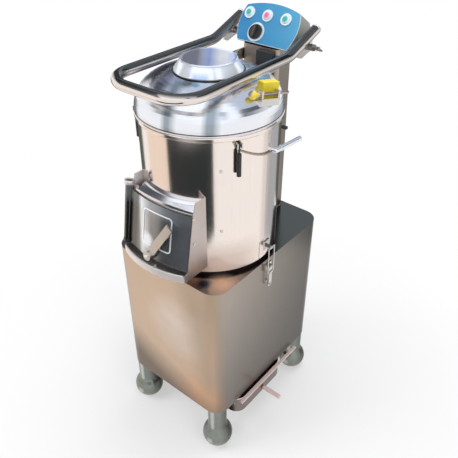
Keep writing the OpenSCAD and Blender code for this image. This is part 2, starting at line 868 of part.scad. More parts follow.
module chute_door() color(polished) at_door() {
    difference() {
        union() {
            translate([0, 0, -door_h]) linear_extrude(door_h) intersection() {
                difference() {
                    door_disc(door_r);
                    door_disc(door_r - plate_t);
                }
                translate([hinge_x, -door_bulge - over]) square([door_right - hinge_x, room]);
            }
            translate([hinge_x, hinge_y, hinge_bottom])
                cylinder(h = hinge_top - hinge_bottom, r = knuckle_r);
        }
        translate([hinge_x, hinge_y, -door_h - over])
            cylinder(h = door_h + room, r = hinge_rod_r + run_gap);
        translate([hinge_x, hinge_y, -door_h - over])
            cylinder(h = hinge_bottom + door_h + over, r = knuckle_r + 2);
    }
    difference() {
        translate([lever_x, lever_y, lever_z]) along_y(lever_boss_r, boss_l);
        translate([0, 0, -door_h - over]) linear_extrude(door_h + 2 * over) door_disc(door_r);
    }
    translate([lever_x, lever_y - lever_pin_l, lever_z]) along_y(lever_pin_r, lever_pin_l);
    door_bead();
}

// The raised outline pressed into the door
module door_bead() {
    bead_w = 94;
    bead_h = 96;
    bead_line = 3.5;
    bead_high = 1.5;
    bead_corner = 10;
    bead_x = 9;
    bead_down = 20;
    intersection() {
        translate([0, 0, -door_h]) linear_extrude(door_h) difference() {
            door_disc(door_r + bead_high);
            door_disc(door_r);
        }
        translate([bead_x, bead_w, -bead_down - bead_h / 2]) rotate([90, 0, 0])
            linear_extrude(2 * bead_w) difference() {
                round_rect(bead_w, bead_h, bead_corner);
                round_rect(bead_w - 2 * bead_line, bead_h - 2 * bead_line, bead_corner - bead_line + 0.5);
            }
    }
}

module door_lever() color(steel) at_door() translate([lever_x, lever_y - rest_gap, lever_z])
    rotate([0, lever_turn, 0]) difference() {
        union() {
            translate([-lever_w / 2, -lever_t, 0]) cube([lever_w, lever_t, lever_l]);
            translate([0, -lever_t - 5, 0]) along_y(lever_boss_r, lever_t + 5);
        }
        translate([0, -room / 2, 0]) along_y(lever_pin_r + run_gap, room);
    }

// Lid: a domed cover with a raised cap

function dome_point(turn, inset) =
    [(lid_r - inset) * pow(cos(turn), 2 / dome_power), dome_z - inset + dome_h * sin(turn)];

function dome_curve(inset) = [for (i = [0 : 14]) dome_point(crown_turn * i / 14, inset)];

function dome_back(inset) = [for (i = [14 : -1 : 0]) dome_point(crown_turn * i / 14, inset)];

module lid_solid() at_drum() rotate_extrude($fn = 96)
    polygon(concat([[0, lid_z], [lid_r, lid_z]], dome_curve(0), [[0, crown_z]]));

module lid_shell() color(polished) at_drum() rotate_extrude($fn = 96)
    polygon(concat(
        [[lid_r - lid_t, lid_z], [lid_r, lid_z]],
        dome_curve(0),
        [[feed_r, crown_z], [feed_r, crown_z - lid_t]],
        dome_back(lid_t)
    ));

module lid_cap() color(polished) at_drum() translate([0, 0, crown_z]) rotate_extrude($fn = 96)
    polygon([
        [cap_r - lid_t, 0], [cap_r, 0], [cap_r - 1, 4], [cap_top_r + 2, cap_h - 4],
        [cap_top_r + 3, cap_h - 2], [cap_top_r, cap_h], [cap_top_r - 5, cap_h - 1.5],
        [0, cap_h - 2.5], [0, cap_h - 2.5 - lid_t], [cap_top_r - 4, cap_h - 3 - lid_t],
        [cap_r - 4, 4]
    ]);

// The place of the pull pin on the lid's right flank, with +Y along the pin
module at_flank() {
    translate([flank_out, flank_y, dome_z + flank_up])
        rotate([0, 0, -flank_turn]) rotate([-flank_dip, 0, 0]) children();
}

module hinge_arms() color(steel) difference() {
    eye_r = 11;
    for (x0 = [arm_x, -arm_x - arm_t]) side_plate(x0, arm_t) {
        translate([lid_axis_y, lid_axis_z]) circle(r = eye_r);
        polygon([
            [lid_axis_y, lid_axis_z + eye_r], [arm_foot_y, lid_axis_z + eye_r],
            [arm_foot_y - 26, lid_axis_z + 2], [arm_foot_y - 16, lid_axis_z - 30],
            [arm_foot_y + 14, lid_axis_z - eye_r - 6], [lid_axis_y, lid_axis_z - eye_r]
        ]);
    }
    lid_solid();
    for (x0 = [arm_x, -arm_x - arm_t]) translate([x0 - over, lid_axis_y, lid_axis_z])
        along_x(pin_r + run_gap, arm_t + 2 * over);
}

module lid_bracket() color(steel) difference() {
    seat_w = 24;
    seat_l = 50;
    seat_sink = 24;
    ear_w = 16;
    ear_h = 20;
    ear_l = 5;
    front = -26;
    at_flank() union() {
        translate([ear_w / 2 + 2 - seat_w, front, -seat_sink]) cube([seat_w, seat_l, ear_w]);
        for (y = [front, front + seat_l - ear_l])
            translate([-ear_w / 2, y, ear_w / 2 - ear_h]) cube([ear_w, ear_l, ear_h]);
    }
    lid_solid();
    at_flank() translate([0, -seat_l, 0]) along_y(flank_pin_r + run_gap, 2 * seat_l);
}

module safety_block() color(yellow) difference() {
    block_size = [22, 44, 50];
    block_at = [-36, -8, -30];
    at_flank() translate(block_at) cube(block_size);
    lid_solid();
}

module pull_pin() color(yellow) at_flank() {
    translate([0, -flank_pin_back, 0]) sphere(r = flank_ball_r);
    translate([0, -flank_pin_back, 0]) along_y(flank_pin_r, flank_pin_l);
}

// Guard bar over the lid; its straight tails are a hair slimmer than the bends

module bar_path(r, extra) {
    side_l = bend_y - (bar_front + bar_corner);
    translate([-bar_half + bar_corner, bar_front, bar_z]) along_x(r, 2 * (bar_half - bar_corner));
    for (m = [0, 1]) mirror([m, 0, 0]) {
        translate([bar_half - bar_corner, bar_front + bar_corner, bar_z])
            rotate([0, 0, -90]) rotate_extrude(angle = 90) translate([bar_corner, 0]) circle(r = r);
        translate([bar_half, bar_front + bar_corner, bar_z]) along_y(r, side_l);
        translate([bar_half, bend_y, bar_z + bar_bend]) rotate([0, 90, 0])
            rotate_extrude(angle = bar_slope) translate([bar_bend, 0]) circle(r = r);
        translate([bar_half, bend_end_y, bend_end_z]) rotate([bar_slope, 0, 0])
            translate([0, -over, 0]) along_y(r - tail_step, bar_tail + over + extra);
    }
}

module guard_bar() color(steel) {
    difference() {
        union() {
            bar_path(bar_r, 0);
            for (side = [-1, 1]) side_plate(side * bar_half - lug_t / 2, lug_t) {
                translate([pivot_y, pivot_z]) circle(r = lug_r);
                polygon([
                    [pivot_y - lug_l, bar_z + 6], [pivot_y - lug_l + 7, pivot_z - 16],
                    [pivot_y - lug_l + 20, pivot_z - 21], [pivot_y + 6, pivot_z - 10.4],
                    [pivot_y + lug_r, pivot_z], [pivot_y + lug_r, bend_end_z + 28],
                    [pivot_y - lug_l / 2, bend_end_z + 12]
                ]);
            }
        }
        bar_path(bar_r - bar_wall, over);
        for (side = [-1, 1]) translate([side * bar_half - lug_t, pivot_y, pivot_z])
            along_x(stud_r + run_gap, 2 * lug_t);
    }
}

module bar_end_caps() color(black) for (side = [-1, 1])
    translate([side * bar_half, bend_end_y, bend_end_z]) rotate([bar_slope, 0, 0])
        translate([0, bar_tail, 0]) {
            along_y(bar_r, cap_l);
            translate([0, -plug_l, 0]) along_y(bar_r - bar_wall - 0.1, plug_l + over);
        }

// The inner bracket, collar and stud on which one lug turns
module bar_brackets() color(steel) for (m = [0, 1]) mirror([m, 0, 0]) difference() {
    sink = 12;
    proud = 5;
    collar_w = 4;
    stud_end = 30;
    foot_at = [[-6, -10.4], [14, -12], [24, 10], [4, 11.3]];
    inner = head_half - sink;
    outer = head_half + proud;
    union() {
        side_plate(inner, outer - inner) translate([pivot_y, pivot_z]) {
            circle(r = lug_r);
            polygon(foot_at);
        }
        translate([outer - over, pivot_y, pivot_z])
            along_x(stud_r + collar_w, bar_half - lug_t / 2 - rest_gap - outer + over);
        translate([outer, pivot_y, pivot_z]) along_x(stud_r, bar_half + stud_end - outer);
    }
    head_solid();
    fascia_solid(0);
}

module wing_nut(side) color(steel)
    translate([side * (bar_half + lug_t / 2 + rest_gap), pivot_y, pivot_z])
        rotate([0, 0, side < 0 ? 180 : 0]) difference() {
            union() {
                along_x(nut_r, nut_w);
                for (turn = [60, 240]) rotate([turn, 0, 0])
                    translate([nut_w - 2, -wing_t / 2, 0]) rotate([0, 14, 0])
                    cube([nut_w - 2, wing_t, wing_r]);
            }
            translate([-over, 0, 0]) along_x(stud_r + run_gap, nut_w * 2);
        }

module right_wing_nut() wing_nut(1);
module left_wing_nut() wing_nut(-1);

// Column and control head

module column() color(steel) difference() {
    translate([0, column_y + column_d / 2, cabinet_top]) linear_extrude(column_h) difference() {
        round_rect(column_w, column_d, column_corner);
        round_rect(column_w - 2 * column_wall, column_d - 2 * column_wall, column_corner - column_wall);
    }
}

module hinge_ears() color(steel) for (m = [0, 1]) mirror([m, 0, 0]) {
    side_plate(column_w / 2, ear_t) {
        translate([lid_axis_y, lid_axis_z]) circle(r = ear_r);
        translate([lid_axis_y, lid_axis_z - ear_r])
            square([lid_axis_out + column_corner + 16, 2 * ear_r]);
    }
    translate([column_w / 2 + ear_t, lid_axis_y, lid_axis_z]) along_x(pin_r, arm_t + 4);
}

module switch_box() color(black)
    translate([box_x - box_w / 2, column_y - box_d, column_top - box_h - box_drop])
        cube([box_w, box_d, box_h]);

// The fascia's frame: X across, Y up its slope, Z out of it
module at_fascia() {
    translate([0, fascia_y, fascia_z]) rotate([fascia_lean, 0, 0]) children();
}

module head_outline(inset) intersection() {
    translate([-head_shift, head_mid]) circle(r = head_side_r - inset, $fn = 120);
    translate([head_shift, head_mid]) circle(r = head_side_r - inset, $fn = 120);
    translate([0, head_l - head_top_r]) circle(r = head_top_r - inset, $fn = 180);
    translate([-head_half, inset]) square([2 * head_half, head_l]);
}

module head_block(inset) intersection() {
    front_room = 10;
    at_fascia() translate([0, 0, -2 * head_d]) linear_extrude(2 * head_d) head_outline(inset);
    at_fascia() translate([-head_half, -head_l / 2, -head_d + inset])
        cube([2 * head_half, 2 * head_l, 2 * head_d]);
    translate([-head_half, fascia_y - front_room, column_top + inset])
        cube([2 * head_half, head_rear - fascia_y - inset + front_room, 2 * head_l]);
}

module head_solid() head_block(0);

module fascia_solid(inset)
    at_fascia() linear_extrude(fascia_t) head_outline(inset);

module head_casing() color(steel) difference() {
    head_solid();
    head_block(casing_t);
    at_fascia() translate([0, 0, -casing_t - 0.5]) linear_extrude(fascia_depth) head_outline(casing_t);
    translate([0, column_y + column_d / 2, column_top - over]) linear_extrude(fascia_depth)
        round_rect(column_w - 2 * neck, column_d - 2 * neck, column_corner - neck / 2);
}

module fascia_panel() color([0.10, 0.50, 0.80]) difference() {
    fascia_solid(0);
    for (i = [-1 : 1]) at_fascia() translate([i * button_step + button_x, button_up, -over])
        cylinder(h = 20, r = button_r + rest_gap);
    at_fascia() translate([knob_x, knob_up, -over]) cylinder(h = spindle_l, r = spindle_r + 0.5);
}

module fascia_rings() color([0.86, 0.87, 0.88]) at_fascia() {
    for (i = [-1 : 1]) translate([i * button_step + button_x, button_up, fascia_t])
        ring(button_ring_r, button_r + rest_gap, 3);
    translate([knob_x, knob_up, fascia_t]) ring(dial_r, dial_bore_r, ring_h);
}

module push_button(i, tone) color(tone)
    at_fascia() translate([i * button_step + button_x, button_up, -button_depth])
        cylinder(h = button_depth + fascia_t + button_proud, r = button_r);

module start_button() push_button(-1, [0.20, 0.72, 0.60]);
module stop_button() push_button(0, [0.93, 0.50, 0.65]);
module pulse_button() push_button(1, [0.15, 0.70, 0.55]);

module timer_knob() color(black) at_fascia() translate([knob_x, knob_up, 0]) {
    knob_foot = fascia_t + ring_h + rest_gap;
    grip_w = 6;
    grip_h = 4;
    translate([0, 0, knob_foot]) cylinder(h = knob_h, r = knob_r);
    translate([-grip_w / 2, -knob_r, knob_foot + knob_h - over]) cube([grip_w, 2 * knob_r, grip_h]);
    translate([0, 0, -spindle_l / 2]) cylinder(h = spindle_l, r = spindle_r);
}

// The timer, the contact blocks behind the buttons and the contactor
module control_gear() color([0.75, 0.74, 0.70]) {
    timer_w = 32;
    timer_d = 30;
    contactor = [80, 60, 30];
    contactor_up = 40;
    for (i = [-1 : 1]) at_fascia() translate([i * button_step + button_x, button_up, 0]) difference() {
        translate([0, 0, -block_h]) cylinder(h = block_h, r = button_r + 2);
        translate([0, 0, -button_depth - button_travel - rest_gap])
            cylinder(h = block_h, r = button_r + rest_gap);
    }
    at_fascia() translate([knob_x, knob_up, 0]) difference() {
        translate([-timer_w / 2, -timer_w / 2, -timer_d]) cube([timer_w, timer_d, timer_d]);
        translate([0, 0, -spindle_l / 2 - 2]) cylinder(h = spindle_l, r = spindle_r + run_gap);
    }
    translate([-contactor[0] / 2, half_d - sheet - contactor[1], cabinet_bottom + contactor_up])
        cube(contactor);
}

// Fittings on the drum's sides

// The hollow inlet: a stub through the drum's wall and a tube that lies along it
module inlet_path(r, extra) {
    at_turn(inlet_turn) translate([bore_r - 6 - extra, 0, inlet_z])
        along_x(r, drum_r + inlet_off - bore_r + 6 + extra);
    at_turn(inlet_turn) translate([drum_r + inlet_off, 0, inlet_z]) {
        sphere(r = r);
        rotate([inlet_rise, 0, 0]) rotate([0, 0, -inlet_out_turn]) along_y(r, inlet_l + extra);
    }
}

module water_inlet() color(polished) difference() {
    union() {
        inlet_path(inlet_r, 0);
        at_turn(inlet_turn) translate([bore_r - 10, 0, inlet_z]) along_x(inlet_r + inlet_flange, 8);
        at_turn(inlet_turn) translate([drum_r + inlet_off, 0, inlet_z])
            rotate([inlet_rise, 0, 0]) rotate([0, 0, -inlet_out_turn])
                translate([0, inlet_stop_at, 0]) along_y(inlet_r + inlet_flange / 2, inlet_stop_w);
    }
    inlet_path(inlet_r - inlet_wall, 5);
}

module at_clamp(side) {
    at_turn(side * clamp_turn) translate([0, 0, clamp_axis_z]) children();
}

module clamp_eyes() color(steel) for (side = [-1, 1]) difference() {
    at_clamp(side) for (s = [-1, 1])
        translate([drum_r - 2, s * (eye_gap / 2 + eye_t / 2) - eye_t / 2, -6])
            cube([eye_out + 8, eye_t, 12]);
    at_drum() translate([0, 0, clamp_axis_z - clamp_rod_l]) cylinder(h = 2 * clamp_rod_l, r = drum_r);
    at_clamp(side) translate([clamp_reach, -clamp_rod_l, 0])
        along_y(clamp_rod_r + run_gap, 2 * clamp_rod_l);
}

module side_clamp(side) at_clamp(side) translate([clamp_reach, 0, 0]) {
    pin_l = eye_gap + 2 * eye_t + 2;
    color(steel) translate([0, -pin_l / 2, 0]) along_y(clamp_rod_r, pin_l);
    color(steel) translate([0, 0, -clamp_rod_l - grip_in])
        cylinder(h = clamp_rod_l + grip_in, r = clamp_rod_r);
    color(black) translate([0, 0, -clamp_rod_l - grip_l]) cylinder(h = grip_l, r = grip_r);
}

module right_clamp() side_clamp(1);
module left_clamp() side_clamp(-1);

// Toggle latch that holds the drum down on the cabinet
module toggle_plates() color(steel) {
    at_drum() translate([0, 0, hook_z - pad_h / 2])
        rotate([0, 0, asin((toggle_y - drum_y) / drum_r) - pad_turn / 2])
        rotate_extrude(angle = pad_turn) translate([drum_r, 0]) square([pad_t, pad_h]);
    translate([drum_r + pad_t - 1, toggle_y - hook_w / 2, hook_z - hook_t - plate_t])
        cube([toggle_axis_x + bail_out + 0.5 - (drum_r + pad_t - 1), hook_w, hook_t]);
    translate([half_w, toggle_y - plate_w / 2, toggle_axis_z - plate_drop])
        cube([plate_t, plate_w, plate_drop + cheek_h]);
    difference() {
        for (s = [-1, 1])
            translate([
                half_w + plate_t, toggle_y + s * (toggle_w / 2 + cheek_gap) - plate_t / 2,
                toggle_axis_z - cheek_h / 2
            ])
                cube([toggle_axis_x + cheek_out - half_w, plate_t, cheek_h]);
        translate([toggle_axis_x, toggle_y - plate_w, toggle_axis_z])
            along_y(toggle_pin_r + run_gap, 2 * plate_w);
    }
}

module toggle_lever() color(steel) translate([toggle_axis_x, toggle_y, toggle_axis_z]) difference() {
    lever_body = 4;
    pin_end = 4;
    eye_t = 3;
    eye_r = 8;
    finger_r = 4.5;
    union() {
        translate([0, -toggle_w / 2 - pin_end, 0]) along_y(toggle_pin_r, toggle_w + 2 * pin_end);
        translate([0, -toggle_w / 2, 0]) along_y(lever_body, toggle_w);
        translate([0, -toggle_w / 2, -toggle_l]) cube([lever_body, toggle_w, toggle_l]);
        translate([bail_out, -toggle_w / 2, -bail_drop]) along_y(lever_body, toggle_w);
        translate([0, 0, -toggle_l - eye_t]) along_x(eye_r, eye_t);
    }
    translate([bail_out, -toggle_w, -bail_drop]) along_y(bail_r + run_gap, 2 * toggle_w);
    translate([-over, 0, -toggle_l - eye_t]) along_x(finger_r, 2 * lever_body);
}

module toggle_bail() color(steel) {
    low = toggle_axis_z - bail_drop;
    high = hook_z - 2 + rest_gap + bail_r;
    translate([toggle_axis_x + bail_out, toggle_y, 0]) {
        for (z = [low, high]) translate([0, -bail_w / 2, z]) along_y(bail_r, bail_w);
        for (s = [-1, 1]) translate([0, s * bail_w / 2, low]) cylinder(h = high - low, r = bail_r);
    }
}

module cable_gland() color(black) translate([gland_x, half_d, gland_z]) difference() {
    flange_l = 6;
    nut_l = 14;
    nut_r = gland_r - 2;
    thread_in = 4;
    thread_r = gland_r - 3.2;
    union() {
        along_y(gland_r, flange_l);
        translate([0, flange_l, 0]) along_y(nut_r, nut_l);
        translate([0, -sheet - thread_in, 0]) along_y(thread_r, flange_l + sheet);
    }
    translate([0, -nut_l, 0]) along_y(gland_bore, 3 * nut_l);
}

// Screw heads on the drum, the chute, the rear cover and the bearing housing
module screws() color(polished) {
    for (z = [drum_bottom + rivet_low, drum_bottom + rivet_high], side = [-1, 1])
        at_turn(side * rivet_turn) difference() {
            translate([drum_r - rivet_l / 2, 0, z]) along_x(rivet_r, rivet_l);
            translate([0, 0, z - 2 * rivet_r]) cylinder(h = 4 * rivet_r, r = drum_r);
        }
    for (x = [-1, 1], z = [-1, 1])
        translate([
            x * (service_w / 2 + cover_lap / 2),
            half_d + cover_t,
            service_z + z * (service_h / 2 + cover_lap / 2)
        ])
            along_y(cover_screw_r, cover_screw_h);
    for (i = [0 : 3]) at_drum() rotate([0, 0, 45 + i * 90])
        translate([housing_flange_r - bolt_in, 0, cabinet_top + housing_flange_t])
            cylinder(h = bolt_h, r = bolt_r, $fn = 6);
    for (z = [door_top_z - 75, door_top_z - 5])
        translate([chute_half, drum_y - drum_r - chute_screw_out, z])
            along_x(chute_screw_r, chute_screw_h);
}

cabinet_shell();
rear_wall();
top_plate();
base_frame();
rear_cover();
feet();
tray_rails();
peel_tray();
tray_handle();
drum_gasket();
drum_floor();
drum_shell();
abrasive_liner();
drain_pipe();
bearing_housing();
shaft_bearings();
main_shaft();
peeling_disc();
driven_pulley();
drive_belt();
motor_pulley();
motor();
motor_plate();
chute_sides();
chute_roof();
chute_floor();
door_hinge_rod();
chute_door();
door_lever();
lid_shell();
lid_cap();
hinge_arms();
lid_bracket();
safety_block();
pull_pin();
guard_bar();
bar_end_caps();
bar_brackets();
right_wing_nut();
left_wing_nut();
column();
hinge_ears();
switch_box();
head_casing();
fascia_panel();
fascia_rings();
start_button();
stop_button();
pulse_button();
timer_knob();
control_gear();
water_inlet();
clamp_eyes();
right_clamp();
left_clamp();
toggle_plates();
toggle_lever();
toggle_bail();
cable_gland();
screws();
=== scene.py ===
import bpy
import json
import math
import numpy as np
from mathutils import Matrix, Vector


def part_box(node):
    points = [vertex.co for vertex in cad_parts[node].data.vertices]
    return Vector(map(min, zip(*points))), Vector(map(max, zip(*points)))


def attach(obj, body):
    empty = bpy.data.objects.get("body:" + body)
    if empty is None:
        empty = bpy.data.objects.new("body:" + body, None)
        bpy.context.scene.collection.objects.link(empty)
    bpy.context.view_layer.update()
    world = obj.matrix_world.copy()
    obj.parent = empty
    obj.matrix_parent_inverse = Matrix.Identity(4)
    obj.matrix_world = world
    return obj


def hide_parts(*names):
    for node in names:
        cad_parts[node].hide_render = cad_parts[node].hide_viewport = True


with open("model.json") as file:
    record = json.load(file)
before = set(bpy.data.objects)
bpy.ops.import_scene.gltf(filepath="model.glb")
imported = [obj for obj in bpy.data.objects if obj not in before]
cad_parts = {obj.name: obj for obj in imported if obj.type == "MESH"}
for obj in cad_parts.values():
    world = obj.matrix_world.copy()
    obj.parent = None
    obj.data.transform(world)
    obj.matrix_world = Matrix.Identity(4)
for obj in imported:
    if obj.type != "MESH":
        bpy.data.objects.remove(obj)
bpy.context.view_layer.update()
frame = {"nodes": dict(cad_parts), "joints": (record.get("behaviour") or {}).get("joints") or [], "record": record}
nodes = frame["nodes"]
jointOf = {joint["name"]: joint for joint in frame["joints"]}
ownTrees = []
print("frame loaded:", len(nodes), "CAD pieces")


# small tools for node trees; a value handed to them is a socket to link or a plain value to set
def addNode(tree, kind, **settings):
    node = tree.nodes.new(kind)
    for key, value in settings.items():
        setattr(node, key, value)
    return node


def feed(tree, socket, value):
    if isinstance(value, bpy.types.NodeSocket):
        tree.links.new(value, socket)
    else:
        socket.default_value = value


def maths(tree, operation, *values):
    node = addNode(tree, "ShaderNodeMath", operation=operation)
    for socket, value in zip(node.inputs, values):
        feed(tree, socket, value)
    return node.outputs[0]


def times(tree, first, second):
    return maths(tree, "MULTIPLY", first, second)


def vectors(tree, operation, *values):
    node = addNode(tree, "ShaderNodeVectorMath", operation=operation)
    for socket, value in zip(node.inputs, values):
        feed(tree, socket, value)
    return node.outputs["Value" if operation in ("DOT_PRODUCT", "LENGTH", "DISTANCE") else "Vector"]


def coordinates(tree, kind="Object"):
    return addNode(tree, "ShaderNodeTexCoord").outputs[kind]


def mixColors(tree, blend, factor, first, second):
    node = addNode(tree, "ShaderNodeMix", data_type="RGBA", blend_type=blend)
    for index, value in ((0, factor), (6, first), (7, second)):
        feed(tree, node.inputs[index], value)
    return node.outputs[2]


def remap(tree, value, low, high, toLow=0.0, toHigh=1.0):
    node = addNode(tree, "ShaderNodeMapRange")
    for socket, number in zip(node.inputs, (value, low, high, toLow, toHigh)):
        feed(tree, socket, number)
    return node.outputs[0]


def noise(tree, vector, **values):
    node = addNode(tree, "ShaderNodeTexNoise")
    feed(tree, node.inputs["Vector"], vector)
    for key, value in values.items():
        feed(tree, node.inputs[key], value)
    return node.outputs["Fac"]


def bumpFrom(tree, bumps):
    # bumps: (height, distance in metres, strength), each laid on the one before
    normal = None
    for height, distance, strength in bumps:
        bump = addNode(tree, "ShaderNodeBump")
        for key, value in (("Height", height), ("Distance", distance), ("Strength", strength),
                           ("Normal", normal)):
            if value is not None:
                feed(tree, bump.inputs[key], value)
        normal = bump.outputs["Normal"]
    return normal


# masks: all run from 0 to 1 unless told otherwise
def facing(tree, direction, low, high):
    # how far a face turns towards a direction, spread from 0 at low to 1 at high
    return remap(tree, vectors(tree, "DOT_PRODUCT", coordinates(tree, "Normal"), direction), low, high)


def along(tree, direction, low, high, toLow=0.0, toHigh=1.0):
    # a straight fade across the object, between two distances along a direction
    return remap(tree, vectors(tree, "DOT_PRODUCT", coordinates(tree), direction), low, high, toLow, toHigh)


def stripe(tree, direction, rise, fall, height=1.0):
    # fades in over one stretch of a direction and out over the next
    return times(tree, along(tree, direction, *rise, 0.0, height), along(tree, direction, *fall, 1.0, 0.0))


def around(tree, centre, near, far):
    # a round spot: 1 within near of the centre, 0 beyond far
    return remap(tree, vectors(tree, "DISTANCE", coordinates(tree), centre), near, far, 1.0, 0.0)


def fromLine(tree, point, direction, near, far):
    # distance from a straight line, |(p - point) x direction|, spread from 0 at near to 1 at far
    square = vectors(tree, "CROSS_PRODUCT", vectors(tree, "SUBTRACT", coordinates(tree), point), direction)
    return remap(tree, vectors(tree, "LENGTH", square), near, far)


# colour laid over colour
def paint(tree, color, mask, tint, share=1.0):
    if share != 1.0:
        mask = times(tree, mask, share)
    return mixColors(tree, "MIX", mask, color, (*tint, 1))


def spotMask(tree, spot, within=None):
    # spot: (centre, near, far, tint, share)
    mask = around(tree, *spot[:3])
    return mask if within is None else times(tree, mask, within)


def paintSpot(tree, color, spot, within=None):
    return paint(tree, color, spotMask(tree, spot, within), *spot[3:])


def shaded(tree, color, mask, share):
    # darkens a colour to a share of itself where the mask is 1
    grey = addNode(tree, "ShaderNodeCombineColor")
    for socket in grey.inputs:
        tree.links.new(share, socket)
    return mixColors(tree, "MULTIPLY", mask, color, grey.outputs[0])


# shader groups that the finishes share
def newGroup(name, inputs, outputs):
    # inputs: name to (socket kind, default)
    group = bpy.data.node_groups.new(name, "ShaderNodeTree")
    for label, (kind, default) in inputs.items():
        group.interface.new_socket(name=label, in_out="INPUT", socket_type=kind).default_value = default
    for label in outputs:
        group.interface.new_socket(name=label, in_out="OUTPUT", socket_type="NodeSocketFloat")
    ownTrees.append(group)
    return group, addNode(group, "NodeGroupInput"), addNode(group, "NodeGroupOutput")


def makeGrainGroup():
    # lines drawn out along one direction: noise on squeezed coordinates, the fine plus 0.6 of the broad
    group, inn, out = newGroup("polishLines", {"Stretch": ("NodeSocketVector", (1200, 1200, 12))},
                               ("Height", "Mask"))
    drawn = vectors(group, "MULTIPLY", coordinates(group), inn.outputs["Stretch"])
    fine = noise(group, drawn, Scale=1.0, Detail=3.0, Roughness=0.6)
    broad = noise(group, drawn, Scale=0.17, Detail=2.0, Roughness=0.5)
    height = maths(group, "MULTIPLY_ADD", broad, 0.6, fine)
    feed(group, out.inputs["Height"], height)
    feed(group, out.inputs["Mask"], remap(group, height, 0.5, 1.1))
    return group


def makeCloudGroup():
    # broad soft patches, as handling, wiping and water leave on sheet metal,
    # and the faint long ripples of thin sheet
    numbers = {"Size": ("NodeSocketFloat", 6.0), "Seed": ("NodeSocketFloat", 0.0)}
    group, inn, out = newGroup("wipedPatches", numbers, ("Patches", "Ripple"))
    shifted = vectors(group, "ADD", coordinates(group), inn.outputs["Seed"])
    size = inn.outputs["Size"]
    patches = noise(group, shifted, Scale=size, Detail=4.0, Roughness=0.55, Distortion=0.6)
    ripple = noise(group, shifted, Scale=times(group, size, 0.8), Detail=1.0, Roughness=0.4)
    feed(group, out.inputs["Patches"], remap(group, patches, 0.35, 0.68))
    feed(group, out.inputs["Ripple"], ripple)
    return group


polishLines = makeGrainGroup()
wipedPatches = makeCloudGroup()
uprightGrain = (1300.0, 1300.0, 14.0)
lineDepth = 0.00002


def placeGroup(tree, group, **values):
    node = addNode(tree, "ShaderNodeGroup", node_tree=group)
    for key, value in values.items():
        node.inputs[key].default_value = value
    return node.outputs


# finishes
def newFinish(name):
    material = bpy.data.materials.new(name)
    material.use_nodes = True
    ownTrees.append(material.node_tree)
    return material, material.node_tree, material.node_tree.nodes["Principled BSDF"]


def startFinish(name, size, seed, tone, worn):
    # every finish begins as two close tones in wiped patches
    material, tree, shader = newFinish(name)
    cloud = placeGroup(tree, wipedPatches, Size=size, Seed=seed)
    color = mixColors(tree, "MIX", cloud["Patches"], (*tone, 1), (*worn, 1))
    return material, tree, shader, cloud, color


def endFinish(tree, shader, color, rough, bumps, metallic=1.0, coat=0.0):
    for key, value in (("Base Color", color), ("Roughness", rough), ("Metallic", metallic),
                       ("Coat Weight", coat)):
        feed(tree, shader.inputs[key], value)
    if bumps:
        feed(tree, shader.inputs["Normal"], bumpFrom(tree, bumps))


def patchy(tree, cloud, rough, wornRough):
    return remap(tree, cloud["Patches"], 0, 1, rough, wornRough)


def sheetSteel(name, tone, shade, worn, rough, stretch, lines=0.25, ripple=0.0006, patch=6.0,
               seed=0.0, metallic=1.0):
    # polished or brushed sheet: patches, shade in the drawn-out lines, then 0.55 of the way back to the tone
    material, tree, shader, cloud, color = startFinish(name, patch, seed, tone, worn)
    grain = placeGroup(tree, polishLines, Stretch=stretch)
    color = paint(tree, color, grain["Mask"], shade)
    color = mixColors(tree, "MIX", 0.55, color, (*tone, 1))
    bumps = [(cloud["Ripple"], ripple, 1.0), (grain["Height"], lineDepth, lines)]
    endFinish(tree, shader, color, patchy(tree, cloud, rough, rough * 1.35), bumps, metallic)
    return material


def mouldedPlastic(name, tone, worn, rough, coat=0.0, grain=900.0, seed=0.0):
    # moulded plastic: fine pebble grain, slightly faded patches
    material, tree, shader, cloud, color = startFinish(name, 18.0, seed, tone, worn)
    pebbles = noise(tree, coordinates(tree), Scale=grain, Detail=2.0, Roughness=0.5)
    endFinish(tree, shader, color, patchy(tree, cloud, rough, rough * 1.4),
              [(pebbles, 0.00005, 0.4)], 0.0, coat)
    return material


# a spot is (centre, near, far, tint, share); a fade is (direction, from, to, share there, share here)
cabinetLook = {
    "tone": (0.54, 0.41, 0.30), "worn": (0.62, 0.45, 0.32), "coolSideReflection": (0.43, 0.375, 0.325),
    "rear": (0.6, 0.6, 0.6),
    # painted shade over the top, dark at the rear and lighter near the front
    "topShade": (0.085, 0.090, 0.080), "topShadeFront": (0.42, 0.34, 0.29), "rough": 0.27, "topRough": 0.20,
    "paleSpot": ((0.035, -0.235, 0.435), 0.015, 0.120, (0.74, 0.64, 0.58), 0.9),
    "orangeSpot": ((0.110, -0.235, 0.215), 0.020, 0.100, (0.72, 0.38, 0.20), 0.65),
    "straw": ((0.152, -0.178, 0.623), 0.010, 0.046, (0.70, 0.44, 0.29), 1.0), "strawMetal": 0.35,
    "blue": ((0.118, -0.207, 0.623), 0.008, 0.024, (0.05, 0.07, 0.13), 1.0),
    "frontShading": (((0.45, 0, 1), 0.170, 0.290, 0.34, 1.0), ((1, 0, 0), -0.172, -0.140, 0.45, 1.0),
                   ((1, 0, 0.2), 0.145, 0.210, 1.0, 0.80)),
    "sideShading": (((0, 0, 1), 0.19, 0.58, 0.40, 0.82), ((0, 1, 0), -0.19, 0.19, 1.12, 0.40)),
    "topShadeFade": ((0, 1, 0), -0.15, 0.02, 1.0, 0.0), "topFade": ((0, 0, 1), 0.45, 0.60),
    "ripple": 0.004, "lines": 0.3,
}


